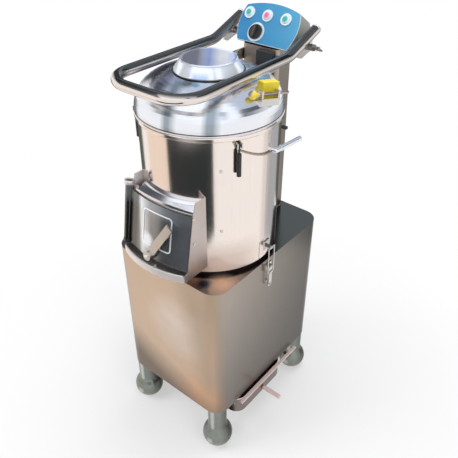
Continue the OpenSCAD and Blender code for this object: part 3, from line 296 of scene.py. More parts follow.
def cabinetSheet(name):
    # satin sheet: warm where it was ground; a painted cool reflection on the right face, painted shade low down,
    # at the edges and to the rear, painted shade over the top, and a straw patch and a dark blue spot at the top
    # corner
    look = cabinetLook
    material, tree, shader, cloud, color = startFinish(name, 3.2, 21.0, look["tone"], look["worn"])
    grain = placeGroup(tree, polishLines, Stretch=(900.0, 900.0, 10.0))
    front = facing(tree, (0, -1, 0), 0.3, 0.8)
    side = facing(tree, (1, 0, 0), 0.55, 1.0)
    # painted cool reflection over the right face
    color = paint(tree, color, side, look["coolSideReflection"])
    # a pale spot on the front, broken by the patches, and an orange spot low on the front
    color = paintSpot(tree, color, look["paleSpot"], cloud["Patches"])
    color = paintSpot(tree, color, look["orangeSpot"])
    # painted shade: darker low down and at the edges of the front, and low down and to the rear on the right face
    for mask, fades in ((front, look["frontShading"]), (side, look["sideShading"])):
        for fade in fades:
            color = shaded(tree, color, mask, along(tree, *fade))
    # painted shade on faces turned to the rear
    color = mixColors(tree, "MULTIPLY", facing(tree, (-0.7, 0.7, 0), 0.1, 0.6), color, (*look["rear"], 1))
    # painted shade over the top: dark at the rear under the drum, lighter towards the front
    top = times(tree, facing(tree, (0, 0, 1), 0.4, 0.8), along(tree, *look["topFade"]))
    topShade = mixColors(tree, "MIX", along(tree, *look["topShadeFade"]), (*look["topShade"], 1), (*look["topShadeFront"], 1))
    color = mixColors(tree, "MIX", top, color, topShade)
    color = paintSpot(tree, color, look["straw"], top)
    color = paintSpot(tree, color, look["blue"], top)
    metallic = remap(tree, spotMask(tree, look["straw"], top), 0, 1, 1.0, look["strawMetal"])
    rough = remap(tree, top, 0, 1, look["rough"], look["topRough"])
    bumps = [(cloud["Ripple"], look["ripple"], 1.0), (grain["Height"], lineDepth, look["lines"])]
    endFinish(tree, shader, color, rough, bumps, metallic)
    return material


trayLook = {
    "pan": (0.20, 0.165, 0.155), "worn": (0.26, 0.21, 0.19), "rough": 0.30, "ripple": 0.001,
    "lip": (0.93, 0.72, 0.67), "lipMetal": 0.35, "lipZ": (0.1535, 0.1555), "handleX": (0.1905, 0.1935),
}


def traySheet(name):
    # brown pan; a painted pinkish highlight along the rolled lip, and the handle in the same pinkish tone
    look = trayLook
    material, tree, shader, cloud, color = startFinish(name, 9.0, 31.0, look["pan"], look["worn"])
    # painted highlight along the top of the lip; the handle takes the same pinkish tone, both less metallic
    lip = maths(tree, "MAXIMUM", along(tree, (0, 0, 1), *look["lipZ"]),
                along(tree, (1, 0, 0), *look["handleX"]))
    color = paint(tree, color, lip, look["lip"])
    rough = patchy(tree, cloud, look["rough"], look["rough"] + 0.1)
    metallic = remap(tree, lip, 0, 1, 1.0, look["lipMetal"])
    endFinish(tree, shader, color, rough, [(cloud["Ripple"], look["ripple"], 1.0)], metallic)
    return material


footLook = {
    "tone": (0.24, 0.26, 0.23), "worn": (0.26, 0.29, 0.26), "paintedDark": (0.075, 0.075, 0.062),
    "pink": (0.36, 0.27, 0.23),
    "highlight": (0.62, 0.66, 0.60), "ballZ": (0.012, 0.042), "rough": 0.24, "ripple": 0.0006,
}


def footSteel(name):
    # turned grey-green legs: a painted highlight stripe down the front, painted shade on the flanks, pinkish low
    # on the ball
    look = footLook
    material, tree, shader, cloud, color = startFinish(name, 26.0, 33.0, look["tone"], look["worn"])
    color = paint(tree, color, along(tree, (0, 0, 1), *look["ballZ"], 1.0, 0.0), look["pink"])
    # painted shade on the flanks, then a painted highlight stripe, by which way each face turns
    color = paint(tree, color, facing(tree, (0.22, -0.93, 0.25), 0.75, 0.05), look["paintedDark"])
    color = paint(tree, color, facing(tree, (0.12, -0.99, 0.0), 0.955, 0.995), look["highlight"], 0.8)
    rough = patchy(tree, cloud, look["rough"], look["rough"] + 0.12)
    endFinish(tree, shader, color, rough, [(cloud["Ripple"], look["ripple"], 1.0)])
    return material


drumAxis = np.array((0.0, -0.037, 0.0))
capLook = {
    "grey": (0.22, 0.23, 0.27), "white": (0.90, 0.93, 0.98), "blue": (0.16, 0.28, 0.66),
    "worn": (0.72, 0.76, 0.86),
    "blueSideReflection": (0.24, 0.44, 0.76), "metal": 0.45, "rough": 0.16, "ripple": 0.0003, "across": (0.7747, 0.6323, 0),
    # distances from the cap's middle, along across
    "greyEnd": (-0.026, 0.004), "bandRise": (-0.024, 0.002), "bandFall": (0.002, 0.026),
    "brink": (0.042, 0.062),
    "dabRise": (-0.040, -0.030), "dabFall": (-0.004, 0.006), "dabZ": (1.1056, 1.1156),
}


def capSteel(name):
    # pressed cap with painted reflections: grey at one side, clear in the middle, bluish at the other, and a
    # painted blue reflection low on its side
    look = capLook
    material, tree, shader = newFinish(name)
    cloud = placeGroup(tree, wipedPatches, Size=16.0, Seed=35.0)
    across = look["across"]
    centre = Vector(across).dot(Vector(drumAxis))
    reach = {key: (centre + look[key][0], centre + look[key][1])
             for key in ("greyEnd", "bandRise", "bandFall", "brink", "dabRise", "dabFall")}
    flat = facing(tree, (0, 0, 1), 0.75, 0.95)
    left = times(tree, along(tree, across, *reach["greyEnd"], 1.0, 0.0), flat)
    band = stripe(tree, across, reach["bandRise"], reach["bandFall"], 0.75)
    right = times(tree, maths(tree, "MAXIMUM", band, along(tree, across, *reach["brink"], 0.0, 0.7)), flat)
    blueSideReflection = times(tree, stripe(tree, across, reach["dabRise"], reach["dabFall"]),
                facing(tree, (0, 0, 1), 0.75, 0.55))
    blueSideReflection = times(tree, blueSideReflection, along(tree, (0, 0, 1), *look["dabZ"], 1.0, 0.0))
    # painted reflections: grey and blue across the flat top, and a blue dab low on the side
    color = mixColors(tree, "MIX", left, (*look["white"], 1), (*look["grey"], 1))
    color = paint(tree, color, right, look["blue"])
    color = paint(tree, color, blueSideReflection, look["blueSideReflection"], 0.7)
    color = mixColors(tree, "MULTIPLY", times(tree, cloud["Patches"], 0.35), color, (*look["worn"], 1))
    endFinish(tree, shader, color, look["rough"], [(cloud["Ripple"], look["ripple"], 1.0)], look["metal"])
    return material


barLook = {
    "tone": (0.80, 0.73, 0.69), "worn": (0.86, 0.77, 0.72), "paintedDark": (0.055, 0.065, 0.060),
    "up": (0.25, 0.30, 0.92),
    "rough": 0.14, "ripple": 0.0003,
}


def barTube(name):
    # polished tube with a painted blue-black reflection along its upper side
    look = barLook
    material, tree, shader, cloud, color = startFinish(name, 14.0, 39.0, look["tone"], look["worn"])
    # painted dark reflection on faces turned up
    color = paint(tree, color, facing(tree, look["up"], 0.30, 0.75), look["paintedDark"], 0.92)
    rough = patchy(tree, cloud, look["rough"], look["rough"] + 0.08)
    endFinish(tree, shader, color, rough, [(cloud["Ripple"], look["ripple"], 1.0)])
    return material


fasciaLook = {
    "blue": (0.010, 0.168, 0.400), "light": (0.090, 0.370, 0.560), "pale": (0.50, 0.62, 0.68),
    "sideR": 0.101, "shift": 0.0114, "mid": 0.0504, "edge": 0.0010, "soft": 0.0004,
    "lean": 56.8, "foot": (0, 0.166, 1.104), "rough": 0.30, "coat": 0.3, "ripple": 0.0004,
}


def fasciaSheet(name):
    # printed sheet: two blues, the lighter a painted pale sheen drifting slantwise; a thin pale edge along both
    # sides and the foot
    look = fasciaLook
    material, tree, shader = newFinish(name)
    cloud = placeGroup(tree, wipedPatches, Size=7.0, Seed=49.0)
    lean = math.radians(look["lean"])
    upSlope = Vector((0, math.cos(lean), math.sin(lean)))
    foot = Vector(look["foot"])
    # painted sheen: the lighter blue drifts in slantwise
    sheen = along(tree, (1.0, 0.4, 0.6), 0.70, 0.90, 0.0, 0.9)
    color = mixColors(tree, "MIX", sheen, (*look["blue"], 1), (*look["light"], 1))
    color = paint(tree, color, cloud["Patches"], look["light"], 0.25)
    inner = look["sideR"] - look["edge"]
    for side in (-1, 1):
        centre = foot + upSlope * look["mid"] + Vector((side * look["shift"], 0, 0))
        color = mixColors(tree, "MIX", around(tree, centre, inner, inner + look["soft"]),
                          (*look["pale"], 1), color)
    low = foot.dot(upSlope) + look["edge"]
    color = paint(tree, color, along(tree, upSlope, low, low + look["soft"], 1.0, 0.0), look["pale"])
    endFinish(tree, shader, color, look["rough"], [(cloud["Ripple"], look["ripple"], 1.0)], 0.0, look["coat"])
    return material


pinLook = {"yellow": (0.90, 0.66, 0.06), "steel": (0.55, 0.42, 0.37),
           "worn": (0.42, 0.36, 0.33), "ball": 0.013,
           "rough": 0.28}


def pinFinish(name):
    # the pull pin: moulded ball on a plain steel rod
    look = pinLook
    low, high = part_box("pull_pin")
    centre = (low[0] + look["ball"], low[1] + look["ball"], high[2] - look["ball"])
    material, tree, shader, cloud, color = startFinish(name, 60.0, 37.0, look["steel"], look["worn"])
    ball = around(tree, centre, look["ball"], look["ball"] + 0.001)
    color = paint(tree, color, ball, look["yellow"])
    endFinish(tree, shader, color, look["rough"], [], remap(tree, ball, 0, 1, 1.0, 0.0))
    return material


doorLook = {
    "tone": (0.26, 0.275, 0.29), "worn": (0.36, 0.38, 0.40), "highlight": (0.95, 0.97, 1.0),
    "paintedDark": (0.13, 0.135, 0.13),
    "grey": (0.085, 0.09, 0.105), "rough": 0.24, "ripple": 0.003,
    "hingeFade": ((1, 0, 0), -0.068, -0.050, 1.0, 0.0), "greyFade": ((1, 0, 0.25), 0.195, 0.285),
    "bandWay": (1, 0, 0.1), "bandRise": (0.020, 0.032), "bandFall": (0.034, 0.066),
    "glint": ((-0.022, -0.262, 0.724), 0.012, 0.028), "edgeFade": ((0, 0, 1), 0.790, 0.810),
    # the raised outline: all that stands proud of the door's curve, above the boss and right of the hinge
    "lean": 10.0, "topFront": (0, -0.222, 0.824), "curveR": 0.3152, "bulge": 0.018, "proud": (0.0004, 0.0009),
    "beadLow": ((0, 0, 1), 0.690, 0.694), "beadLeft": ((1, 0, 0), -0.050, -0.046),
}


def doorSheet(name):
    # polished curved door with painted light and shade: painted shade by the hinge, a painted highlight band
    # upright, darker again to the right, a painted white glint low down and a painted highlight on the raised
    # outline
    look = doorLook
    material, tree, shader, cloud, color = startFinish(name, 9.0, 41.0, look["tone"], look["worn"])
    band = stripe(tree, look["bandWay"], look["bandRise"], look["bandFall"])
    right = along(tree, *look["greyFade"])
    glint = around(tree, *look["glint"])
    lean = math.radians(look["lean"])
    upDoor = Vector((0, math.sin(lean), math.cos(lean)))
    outDoor = Vector((0, -math.cos(lean), math.sin(lean)))
    curveAxis = Vector(look["topFront"]) - outDoor * (look["curveR"] - look["bulge"])
    near, far = (look["curveR"] + step for step in look["proud"])
    bead = times(tree, fromLine(tree, curveAxis, upDoor, near, far), along(tree, *look["beadLow"]))
    bead = times(tree, bead, along(tree, *look["beadLeft"]))
    # painted shade by the hinge, then painted highlights in the band, glint and outline, and a darker painted
    # right side
    color = paint(tree, color, along(tree, *look["hingeFade"]), look["paintedDark"], 0.90)
    for mask, tint, share in ((band, "highlight", 0.8), (right, "grey", 0.8), (glint, "highlight", 0.9),
                              (bead, "highlight", 1.0)):
        color = paint(tree, color, mask, look[tint], share)
    # less metallic where light and shade are painted and along the top edge, so the painted colour shows
    metallic = (1, 1, 1, 1)
    for mask, share in ((band, 0.45), (right, 0.45), (bead, 0.3),
                        (along(tree, *look["edgeFade"]), 0.25), (glint, 0.2)):
        metallic = mixColors(tree, "MIX", mask, metallic, (share, share, share, 1))
    endFinish(tree, shader, color, look["rough"], [(cloud["Ripple"], look["ripple"], 1.0)], metallic)
    return material


cheekLook = {
    "tone": (0.56, 0.49, 0.46), "worn": (0.66, 0.57, 0.53), "pale": (0.86, 0.84, 0.84), "rough": 0.32,
    "leftFade": ((1, 0, 0), -0.100, -0.080, 1.0, 0.0), "highFade": ((0, 0, 1), 0.800, 0.835), "ripple": 0.001,
}


def cheekSheet(name):
    # satin cheek plates, the left one painted pale towards its top as painted light, less metallic there
    look = cheekLook
    material, tree, shader, cloud, color = startFinish(name, 6.0, 42.0, look["tone"], look["worn"])
    # painted light on the left plate's top
    paintedLightTop = times(tree, along(tree, *look["leftFade"]), along(tree, *look["highFade"]))
    color = paint(tree, color, paintedLightTop, look["pale"])
    rough = patchy(tree, cloud, look["rough"], look["rough"] + 0.1)
    metallic = remap(tree, paintedLightTop, 0, 1, 1.0, 0.1)
    endFinish(tree, shader, color, rough, [(cloud["Ripple"], look["ripple"], 1.0)], metallic)
    return material


lidLook = {
    "tone": (0.84, 0.86, 0.91), "worn": (0.90, 0.91, 0.95), "streak": (0.20, 0.26, 0.31), "rough": 0.20,
    "ripple": 0.0012,
    "reflectionSpots": (((-0.100, -0.092, 1.077), 0.040, 0.078, (0.20, 0.21, 0.25), 0.9),
              ((-0.034, -0.142, 1.088), 0.008, 0.042, (0.08, 0.09, 0.22), 0.75),
              ((0.018, -0.130, 1.096), 0.0096, 0.024, (0.030, 0.034, 0.045), 0.8),
              ((0.040, -0.127, 1.095), 0.0048, 0.012, (0.16, 0.42, 0.60), 0.8)),
    "frontReflections": (((0.93, 0.37, 0), (-0.070, -0.056), (-0.048, -0.028)),
              ((0.894, 0.447, 0), (0.008, 0.022), (0.034, 0.052))),
    "frontFade": ((0.447, -0.894, 0), 0.060, 0.100),
}


def lidSheet(name):
    # spun lid with painted reflections: grey and deep blue towards the left, dark by the cap's foot, two bluish
    # streaks in front
    look = lidLook
    material, tree, shader, cloud, color = startFinish(name, 7.0, 5.0, look["tone"], look["worn"])
    # painted reflections in round spots
    for spot in look["reflectionSpots"]:
        color = paintSpot(tree, color, spot)
    # painted reflections: two bluish streaks across the front
    frontReflections = maths(tree, "MAXIMUM", *(stripe(tree, *mark) for mark in look["frontReflections"]))
    color = paint(tree, color, times(tree, frontReflections, along(tree, *look["frontFade"])), look["streak"], 0.8)
    rough = patchy(tree, cloud, look["rough"], look["rough"] + 0.07)
    endFinish(tree, shader, color, rough, [(cloud["Ripple"], look["ripple"], 1.0)])
    return material


drumLook = {
    "tone": (0.90, 0.82, 0.77), "worn": (0.95, 0.82, 0.75), "line": (0.80, 0.73, 0.68),
    "footReflection": (0.80, 0.64, 0.55),
    "glow": ((0.085, -0.190, 0.650), 0.010, 0.034, (0.85, 0.50, 0.30), 0.8), "rough": 0.13,
    "footReflectionMetal": 0.15,
    "footFade": ((0, 0, 1), 0.680, 0.735, 1.0, 0.0), "footWay": (0.63, -0.77, 0),
    "ripple": 0.0005, "lines": 0.06,
}


def drumSheet(name):
    # polished drum: long faint lines, a painted cream reflection along the foot on faces turned to the camera, and
    # a small painted warm reflection beside the chute
    look = drumLook
    material, tree, shader, cloud, color = startFinish(name, 4.0, 3.0, look["tone"], look["worn"])
    grain = placeGroup(tree, polishLines, Stretch=uprightGrain)
    color = paint(tree, color, grain["Mask"], look["line"], 0.45)
    # painted cream reflection along the foot, on faces turned to the camera, less metallic there
    foot = times(tree, along(tree, *look["footFade"]), facing(tree, look["footWay"], 0.65, 0.90))
    color = paint(tree, color, foot, look["footReflection"])
    # painted warm reflection beside the chute
    color = paintSpot(tree, color, look["glow"])
    metallic = remap(tree, foot, 0, 1, 1.0, look["footReflectionMetal"])
    bumps = [(cloud["Ripple"], look["ripple"], 1.0), (grain["Height"], lineDepth, look["lines"])]
    endFinish(tree, shader, color, patchy(tree, cloud, look["rough"], look["rough"] * 1.35), bumps, metallic)
    return material


# each finish: tone, shade in the lines, tone where worn, roughness, stretch of the lines
finishes = {
    "cabinet_steel": cabinetSheet("cabinetSatin"),
    "drum_steel": drumSheet("drumPolish"),
    "lid_steel": sheetSteel("lidPolish", (0.84, 0.86, 0.91), (0.78, 0.81, 0.87), (0.88, 0.89, 0.93),
                            0.17, (9.0, 9.0, 9.0), lines=0.0, ripple=0.0012, patch=7.0, seed=5.0),
    "bar_steel": barTube("barPolish"),
    "foot_steel": footSteel("footTurned"),
    "fitting_steel": sheetSteel("fittingSteel", (0.68, 0.65, 0.62), (0.55, 0.53, 0.50), (0.73, 0.69, 0.64),
                                0.20, (500.0, 500.0, 80.0), lines=0.2, ripple=0.0002, patch=14.0, seed=11.0),
    "shaft_steel": sheetSteel("groundBar", (0.72, 0.72, 0.73), (0.60, 0.60, 0.62), (0.76, 0.75, 0.74),
                              0.12, (60.0, 60.0, 2500.0), lines=0.2, ripple=0.0001, seed=13.0),
    "cast_parts": sheetSteel("machinedCasting", (0.40, 0.41, 0.43), (0.28, 0.29, 0.31), (0.46, 0.45, 0.44),
                             0.42, (500.0, 500.0, 500.0), lines=0.6, ripple=0.0003, seed=17.0),
    "pale_rings": mouldedPlastic("paleRings", (0.62, 0.74, 0.82), (0.80, 0.86, 0.90), 0.22, 0.4, seed=15.0),
    "black_plastic": mouldedPlastic("blackMoulding", (0.018, 0.018, 0.020), (0.035, 0.034, 0.034),
                                    0.38, seed=1.0),
    "yellow_plastic": mouldedPlastic("yellowMoulding", (0.88, 0.70, 0.02), (0.93, 0.78, 0.06), 0.30,
                                     0.2, seed=2.0),
    "blue_fascia": fasciaSheet("blueSheet"),
    "green_cap": mouldedPlastic("greenCap", (0.060, 0.480, 0.400), (0.100, 0.560, 0.470), 0.25,
                                0.5, seed=4.0),
    "red_cap": mouldedPlastic("redCap", (0.860, 0.130, 0.340), (0.900, 0.200, 0.420), 0.25, 0.5, seed=5.0),
    "rubber": mouldedPlastic("rubberRing", (0.012, 0.012, 0.013), (0.025, 0.024, 0.024), 0.55, seed=6.0),
    "abrasive": mouldedPlastic("bondedGrit", (0.12, 0.115, 0.11), (0.20, 0.19, 0.175), 0.80,
                               grain=420.0, seed=7.0),
    "motor_paint": mouldedPlastic("motorEnamel", (0.10, 0.14, 0.17), (0.13, 0.17, 0.20), 0.35, 0.3, seed=8.0),
}
wingNutDark = sheetSteel("wingNutDark", (0.20, 0.21, 0.20), (0.14, 0.15, 0.14), (0.28, 0.28, 0.27),
                         0.32, (300.0, 300.0, 300.0), lines=0.1, ripple=0.0002, seed=48.0)
# pieces with a finish of their own; the others take their slot's
ownFinishes = {
    "peel_tray": traySheet("trayPan"),
    "tray_handle": traySheet("trayGrip"),
    "lid_cap": capSteel("capPressed"),
    "chute_door": doorSheet("doorSatin"),
    "chute_sides": cheekSheet("cheekSatin"),
    "lid_shell": lidSheet("lidSpun"),
    "pull_pin": pinFinish("pinBallAndRod"),
    "right_wing_nut": wingNutDark,
    "left_wing_nut": wingNutDark,
    "door_hinge_rod": sheetSteel("rodDull", (0.13, 0.135, 0.13), (0.09, 0.09, 0.09), (0.20, 0.195, 0.18),
                                 0.34, (400.0, 400.0, 60.0), lines=0.1, ripple=0.0003, seed=47.0),
    # pale steel, brightened to stand in for the highlights on the chute's lip; the trim tubes take it too
    "chute_floor": sheetSteel("lipBrightened", (0.92, 0.86, 0.84), (0.84, 0.77, 0.75), (0.96, 0.90, 0.88),
                              0.42, (9.0, 9.0, 9.0), lines=0.0, ripple=0.001, patch=9.0, seed=43.0),
    "column": sheetSteel("columnSatin", (0.45, 0.37, 0.31), (0.38, 0.31, 0.26), (0.52, 0.43, 0.36),
                         0.26, uprightGrain, lines=0.08, ripple=0.001, patch=5.0, seed=44.0),
    "head_casing": sheetSteel("headSatin", (0.27, 0.27, 0.24), (0.20, 0.20, 0.18), (0.34, 0.33, 0.29),
                              0.34, uprightGrain, lines=0.08, ripple=0.001, seed=45.0, metallic=0.15),
    "bar_brackets": sheetSteel("bracketDull", (0.36, 0.36, 0.35), (0.28, 0.28, 0.27), (0.44, 0.43, 0.41),
                               0.34, (300.0, 300.0, 60.0), lines=0.1, ripple=0.0002, seed=46.0),
    "bar_end_caps": mouldedPlastic("paleCaps", (0.50, 0.52, 0.52), (0.60, 0.60, 0.58), 0.40, seed=47.0),
}
slotOf = {row["node"]: row["material_slot"] for row in frame["record"]["subparts"]}
for name, piece in nodes.items():
    piece.data.materials.clear()
    piece.data.materials.append(ownFinishes.get(name, finishes[slotOf[name]]))
print("finishes made:", len(finishes) + len(ownFinishes))


# meshes worked out as grids of points; each takes its finish, body and slot last, the slot not used
def newPiece(name, verts, faces, finish, body, slot):
    mesh = bpy.data.meshes.new(name)
    mesh.from_pydata(verts.tolist(), [], faces)
    mesh.polygons.foreach_set("use_smooth", np.ones(len(mesh.polygons), dtype=bool))
    mesh.materials.append(finish)
    piece = bpy.data.objects.new(name, mesh)
    bpy.context.scene.collection.objects.link(piece)
    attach(piece, body)
    return piece


def gridFaces(rows, columns, wrapRows=False):
    # quads between neighbouring points of a grid whose columns close on themselves
    i = np.arange(rows if wrapRows else rows - 1)[:, None]
    j = np.arange(columns)[None, :]
    nextRow, nextColumn = (i + 1) % rows, (j + 1) % columns
    corners = (i * columns + j, i * columns + nextColumn, nextRow * columns + nextColumn,
               nextRow * columns + j)
    return np.stack(np.broadcast_arrays(*corners), axis=-1).reshape(-1, 4).tolist()


def loopedPiece(name, grid, *dress):
    # a grid closed on itself both ways
    return newPiece(name, grid.reshape(-1, 3), gridFaces(*grid.shape[:2], True), *dress)


def cappedPiece(name, grid, poles, *dress):
    # a grid closed round its columns, its first and last rows drawn to one point each
    rows, columns = grid.shape[:2]
    count = rows * columns
    j = np.arange(columns)
    k = (j + 1) % columns
    low = np.stack((np.full(columns, count), k, j), axis=1)
    high = np.stack((np.full(columns, count + 1), (rows - 1) * columns + j, (rows - 1) * columns + k), axis=1)
    verts = np.concatenate((grid.reshape(-1, 3), poles))
    return newPiece(name, verts, gridFaces(rows, columns) + low.tolist() + high.tolist(), *dress)


def turned(profile, centre, axis, sides):
    # (radius, height) turned about an axis: centre + height * axis + radius * (cos a * side + sin a * other)
    lead = np.array((0.0, 0.0, 1.0)) if abs(axis[2]) < 0.9 else np.array((1.0, 0.0, 0.0))
    side = np.cross(lead, axis)
    side /= np.linalg.norm(side)
    angle = np.linspace(0, 2 * np.pi, sides, endpoint=False)[:, None]
    ring = np.cos(angle) * side + np.sin(angle) * np.cross(axis, side)
    return np.asarray(centre) + profile[:, None, 1:] * axis + profile[:, None, :1] * ring[None]


def revolve(name, profile, centre, axis, *dress, sides=64):
    # a profile whose two ends lie on the axis, turned about it
    poles = np.asarray(centre) + profile[[0, -1], 1:] * axis
    return cappedPiece(name, turned(profile[1:-1], centre, axis, sides), poles, *dress)


def sweepTube(name, path, radius, *dress, sides=20, closed=False):
    # a round tube: each point of a roughly level path carries a circle square to the path there
    ahead = np.roll(path, -1, axis=0) - np.roll(path, 1, axis=0) if closed else np.gradient(path, axis=0)
    ahead /= np.linalg.norm(ahead, axis=1, keepdims=True)
    across = np.cross((0.0, 0.0, 1.0), ahead)
    across /= np.linalg.norm(across, axis=1, keepdims=True)
    above = np.cross(ahead, across)
    angle = np.linspace(0, 2 * np.pi, sides, endpoint=False)[None, :, None]
    grid = path[:, None] + radius * (np.cos(angle) * across[:, None] + np.sin(angle) * above[:, None])
    return loopedPiece(name, grid, *dress) if closed else cappedPiece(name, grid, path[[0, -1]], *dress)


def softened(value, power):
    # keeps the sign and raises the size to a small power, which squares a circle up
    return np.sign(value) * np.abs(value) ** power


def roundedBlock(name, centre, sides, halves, *dress, power=0.35, rows=24, columns=48):
    # a box with soft edges: each axis takes its half size times a softened sine or cosine
    tilt = np.linspace(-np.pi / 2, np.pi / 2, rows + 2)[1:-1, None]
    turn = np.linspace(0, 2 * np.pi, columns, endpoint=False)[None, :]
    level, upright = softened(np.cos(tilt), power), softened(np.sin(tilt), power)
    parts = (level * softened(np.cos(turn), power), level * softened(np.sin(turn), power),
             upright * np.ones_like(turn))
    grid = sum((part * half)[..., None] * side for part, half, side in zip(parts, halves, sides))
    poles = np.outer((-halves[2], halves[2]), sides[2])
    return cappedPiece(name, grid + centre, poles + centre, *dress)


def onDrum(turn, reach, height):
    # points round the drum: turn 0 in front, growing to the right
    turn = np.radians(turn)
    return np.stack((np.sin(turn) * reach, -np.cos(turn) * reach, np.full_like(turn, height)),
                    axis=-1) + drumAxis


buttonLook = {
    "radius": 0.011, "low": -0.0085, "high": 0.0085, "dome": 0.0030, "spot": (0.0056, 0.0100),
    "shift": -0.0014,
    "pale": (0.52, 0.68, 0.74), "worn": (0.74, 0.82, 0.86), "green": (0.050, 0.420, 0.360),
    "pink": (0.800, 0.140, 0.340), "rough": 0.22, "coat": 0.5, "ripple": 0.0002,
}


def buttonFinish(name, tint, centre):
    # pale moulded cap with a coloured disc under its middle
    look = buttonLook
    material, tree, shader, cloud, color = startFinish(name, 90.0, 51.0, look["pale"], look["worn"])
    color = paint(tree, color, around(tree, centre, *look["spot"]), tint)
    endFinish(tree, shader, color, look["rough"], [(cloud["Ripple"], look["ripple"], 1.0)], 0.0, look["coat"])
    return material


def makeButton(name, node, body, joint, tint, slot):
    # straight skirt and a shallow dome: radius falls as the cosine while height rises as the sine
    look = buttonLook
    low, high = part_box(node)
    centre = (np.array(low) + np.array(high)) / 2
    out = -np.array(jointOf[joint]["axis"])
    out /= np.linalg.norm(out)
    turn = np.linspace(0, np.pi / 2, 9)[:-1]
    dome = np.stack((look["radius"] * np.cos(turn),
                     look["high"] - look["dome"] + look["dome"] * np.sin(turn)), axis=1)
    profile = np.concatenate(([[0, look["low"]], [look["radius"], look["low"]]], dome, [[0, look["high"]]]))
    finish = buttonFinish(name + "Finish", tint,
                          centre + out * look["high"] + np.array((look["shift"], 0, 0)))
    piece = revolve(name, profile, centre, out, finish, body, slot)
    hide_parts(node)


dialLook = {
    "radius": 0.0192, "shaft": 0.004, "back": -0.010, "foot": 0.0049, "face": 0.0100, "soft": 0.0016,
    "dish": 0.0004,
    "gripHalf": (0.0030, 0.0165, 0.0045), "grip": (0.030, 0.026, 0.024), "gripWorn": (0.060, 0.050, 0.045),
}


def makeDial():
    # a turned disc on its shaft, its rim a quarter circle, with an upright grip bar across it
    look = dialLook
    radius, soft, shaft, foot, face = (look[key] for key in ("radius", "soft", "shaft", "foot", "face"))
    out = -np.array(jointOf["timer_turn"]["axis"])
    out /= np.linalg.norm(out)
    place = np.array(jointOf["timer_turn"]["pos_m"])
    turn = np.linspace(0, np.pi / 2, 7)
    rim = np.stack((radius - soft + soft * np.cos(turn), face - soft + soft * np.sin(turn)), axis=1)
    dish = face - look["dish"]
    profile = np.concatenate((
        [[0, look["back"]], [shaft, look["back"]], [shaft, foot], [radius - 0.0006, foot],
         [radius, foot + 0.0008]],
        rim, [[radius * 0.8, dish], [0, dish]]))
    disc = revolve("timerDial", profile, place, out, finishes["black_plastic"], "timer",
                   "black_plastic", sides=96)
    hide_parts("timer_knob")
    across = np.array((1.0, 0.0, 0.0))
    finish = mouldedPlastic("dialGripWorn", look["grip"], look["gripWorn"], 0.35, seed=52.0)
    roundedBlock("timerGrip", place + out * (face + look["gripHalf"][2] - 0.001),
                 (across, np.cross(out, across), out),
                 look["gripHalf"], finish, "timer", "black_plastic")


lidTrim = {"sealR": 0.0016, "sealUp": 0.001, "beadR": 0.0021, "beadUp": 0.0026, "darkR": 0.0013,
           "darkUp": 0.0062}


def makeLidTrim():
    # three tubes on level circles: round the cap's foot, a black one standing for the shadow line under the cap,
    # and two round the lid's rim
    look = lidTrim
    rubber, steel = finishes["rubber"], ownFinishes["chute_floor"]
    capBox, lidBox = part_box("lid_cap"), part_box("lid_shell")
    for label, (low, high), height, radius, sink, finish, slot, steps in (
            ("capShadowRing", capBox, look["sealUp"], look["sealR"], -0.6, rubber, "rubber", 120),
            ("rimBead", lidBox, look["beadUp"], look["beadR"], 0.45, steel, "lid_steel", 180),
            ("rimDark", lidBox, look["darkUp"], look["darkR"], 0.45, rubber, "lid_steel", 180)):
        reach = (high[0] - low[0]) / 2 - radius * sink
        ring = onDrum(np.linspace(0, 360, steps, endpoint=False), reach, low[2] + height)
        sweepTube(label, ring, radius, finish, "lid", slot, sides=12, closed=True)


doorTrim = {
    "curlIn": 0.0104, "curlOut": 0.0128, "curlHigh": 0.011, "curlDown": 0.008, "chamfer": 0.0006,
    "lipR": 0.0030, "lipGap": 0.0002, "stopHalf": 0.100, "stopY": -0.208, "stopBulge": 0.018, "stopZ": 0.8215,
    "stopR": 0.0070,
}


def makeDoorTrim():
    # a chamfered ring round the hinge's top, a tube along the chute's front lip, and one behind
    # the door's top edge
    # on a parabola: y = stopY - stopBulge * (1 - (x / stopHalf) ^ 2)
    look = doorTrim
    steel = ownFinishes["chute_floor"]
    hinge = jointOf["door_swing"]
    pivot, upDoor = np.array(hinge["pos_m"]), -np.array(hinge["axis"])
    upDoor /= np.linalg.norm(upDoor)
    rise = (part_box("door_hinge_rod")[1][2] - pivot[2]) / upDoor[2]
    inner, outer, high, cut = look["curlIn"], look["curlOut"], look["curlHigh"], look["chamfer"]
    loop = np.array(((inner, 0.0), (outer - cut, 0.0), (outer, 0.0008), (outer, high - 0.001),
                     (outer - 0.001, high), (inner + cut, high), (inner, high - 0.0008)))
    curl = turned(loop, pivot + upDoor * (rise - look["curlDown"]), upDoor, 48)
    loopedPiece("hingeCurl", curl, steel, "machine", "fitting_steel")

    low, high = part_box("chute_floor")
    reach = drumAxis[1] - low[1] - look["lipR"] - look["lipGap"]
    half = math.degrees(math.asin(min(high[0], -low[0]) / reach)) - 0.6
    lip = onDrum(np.linspace(-half, half, 60), reach, high[2] - look["lipR"] * 0.4)
    sweepTube("lipRoll", lip, look["lipR"], steel, "machine", "lid_steel")

    across = np.linspace(-look["stopHalf"], look["stopHalf"], 60)
    bulge = look["stopBulge"] * (1 - (across / look["stopHalf"]) ** 2)
    stop = np.stack((across, look["stopY"] - bulge, np.full_like(across, look["stopZ"])), axis=1)
    sweepTube("doorStop", stop, look["stopR"], steel, "machine", "lid_steel", sides=16)


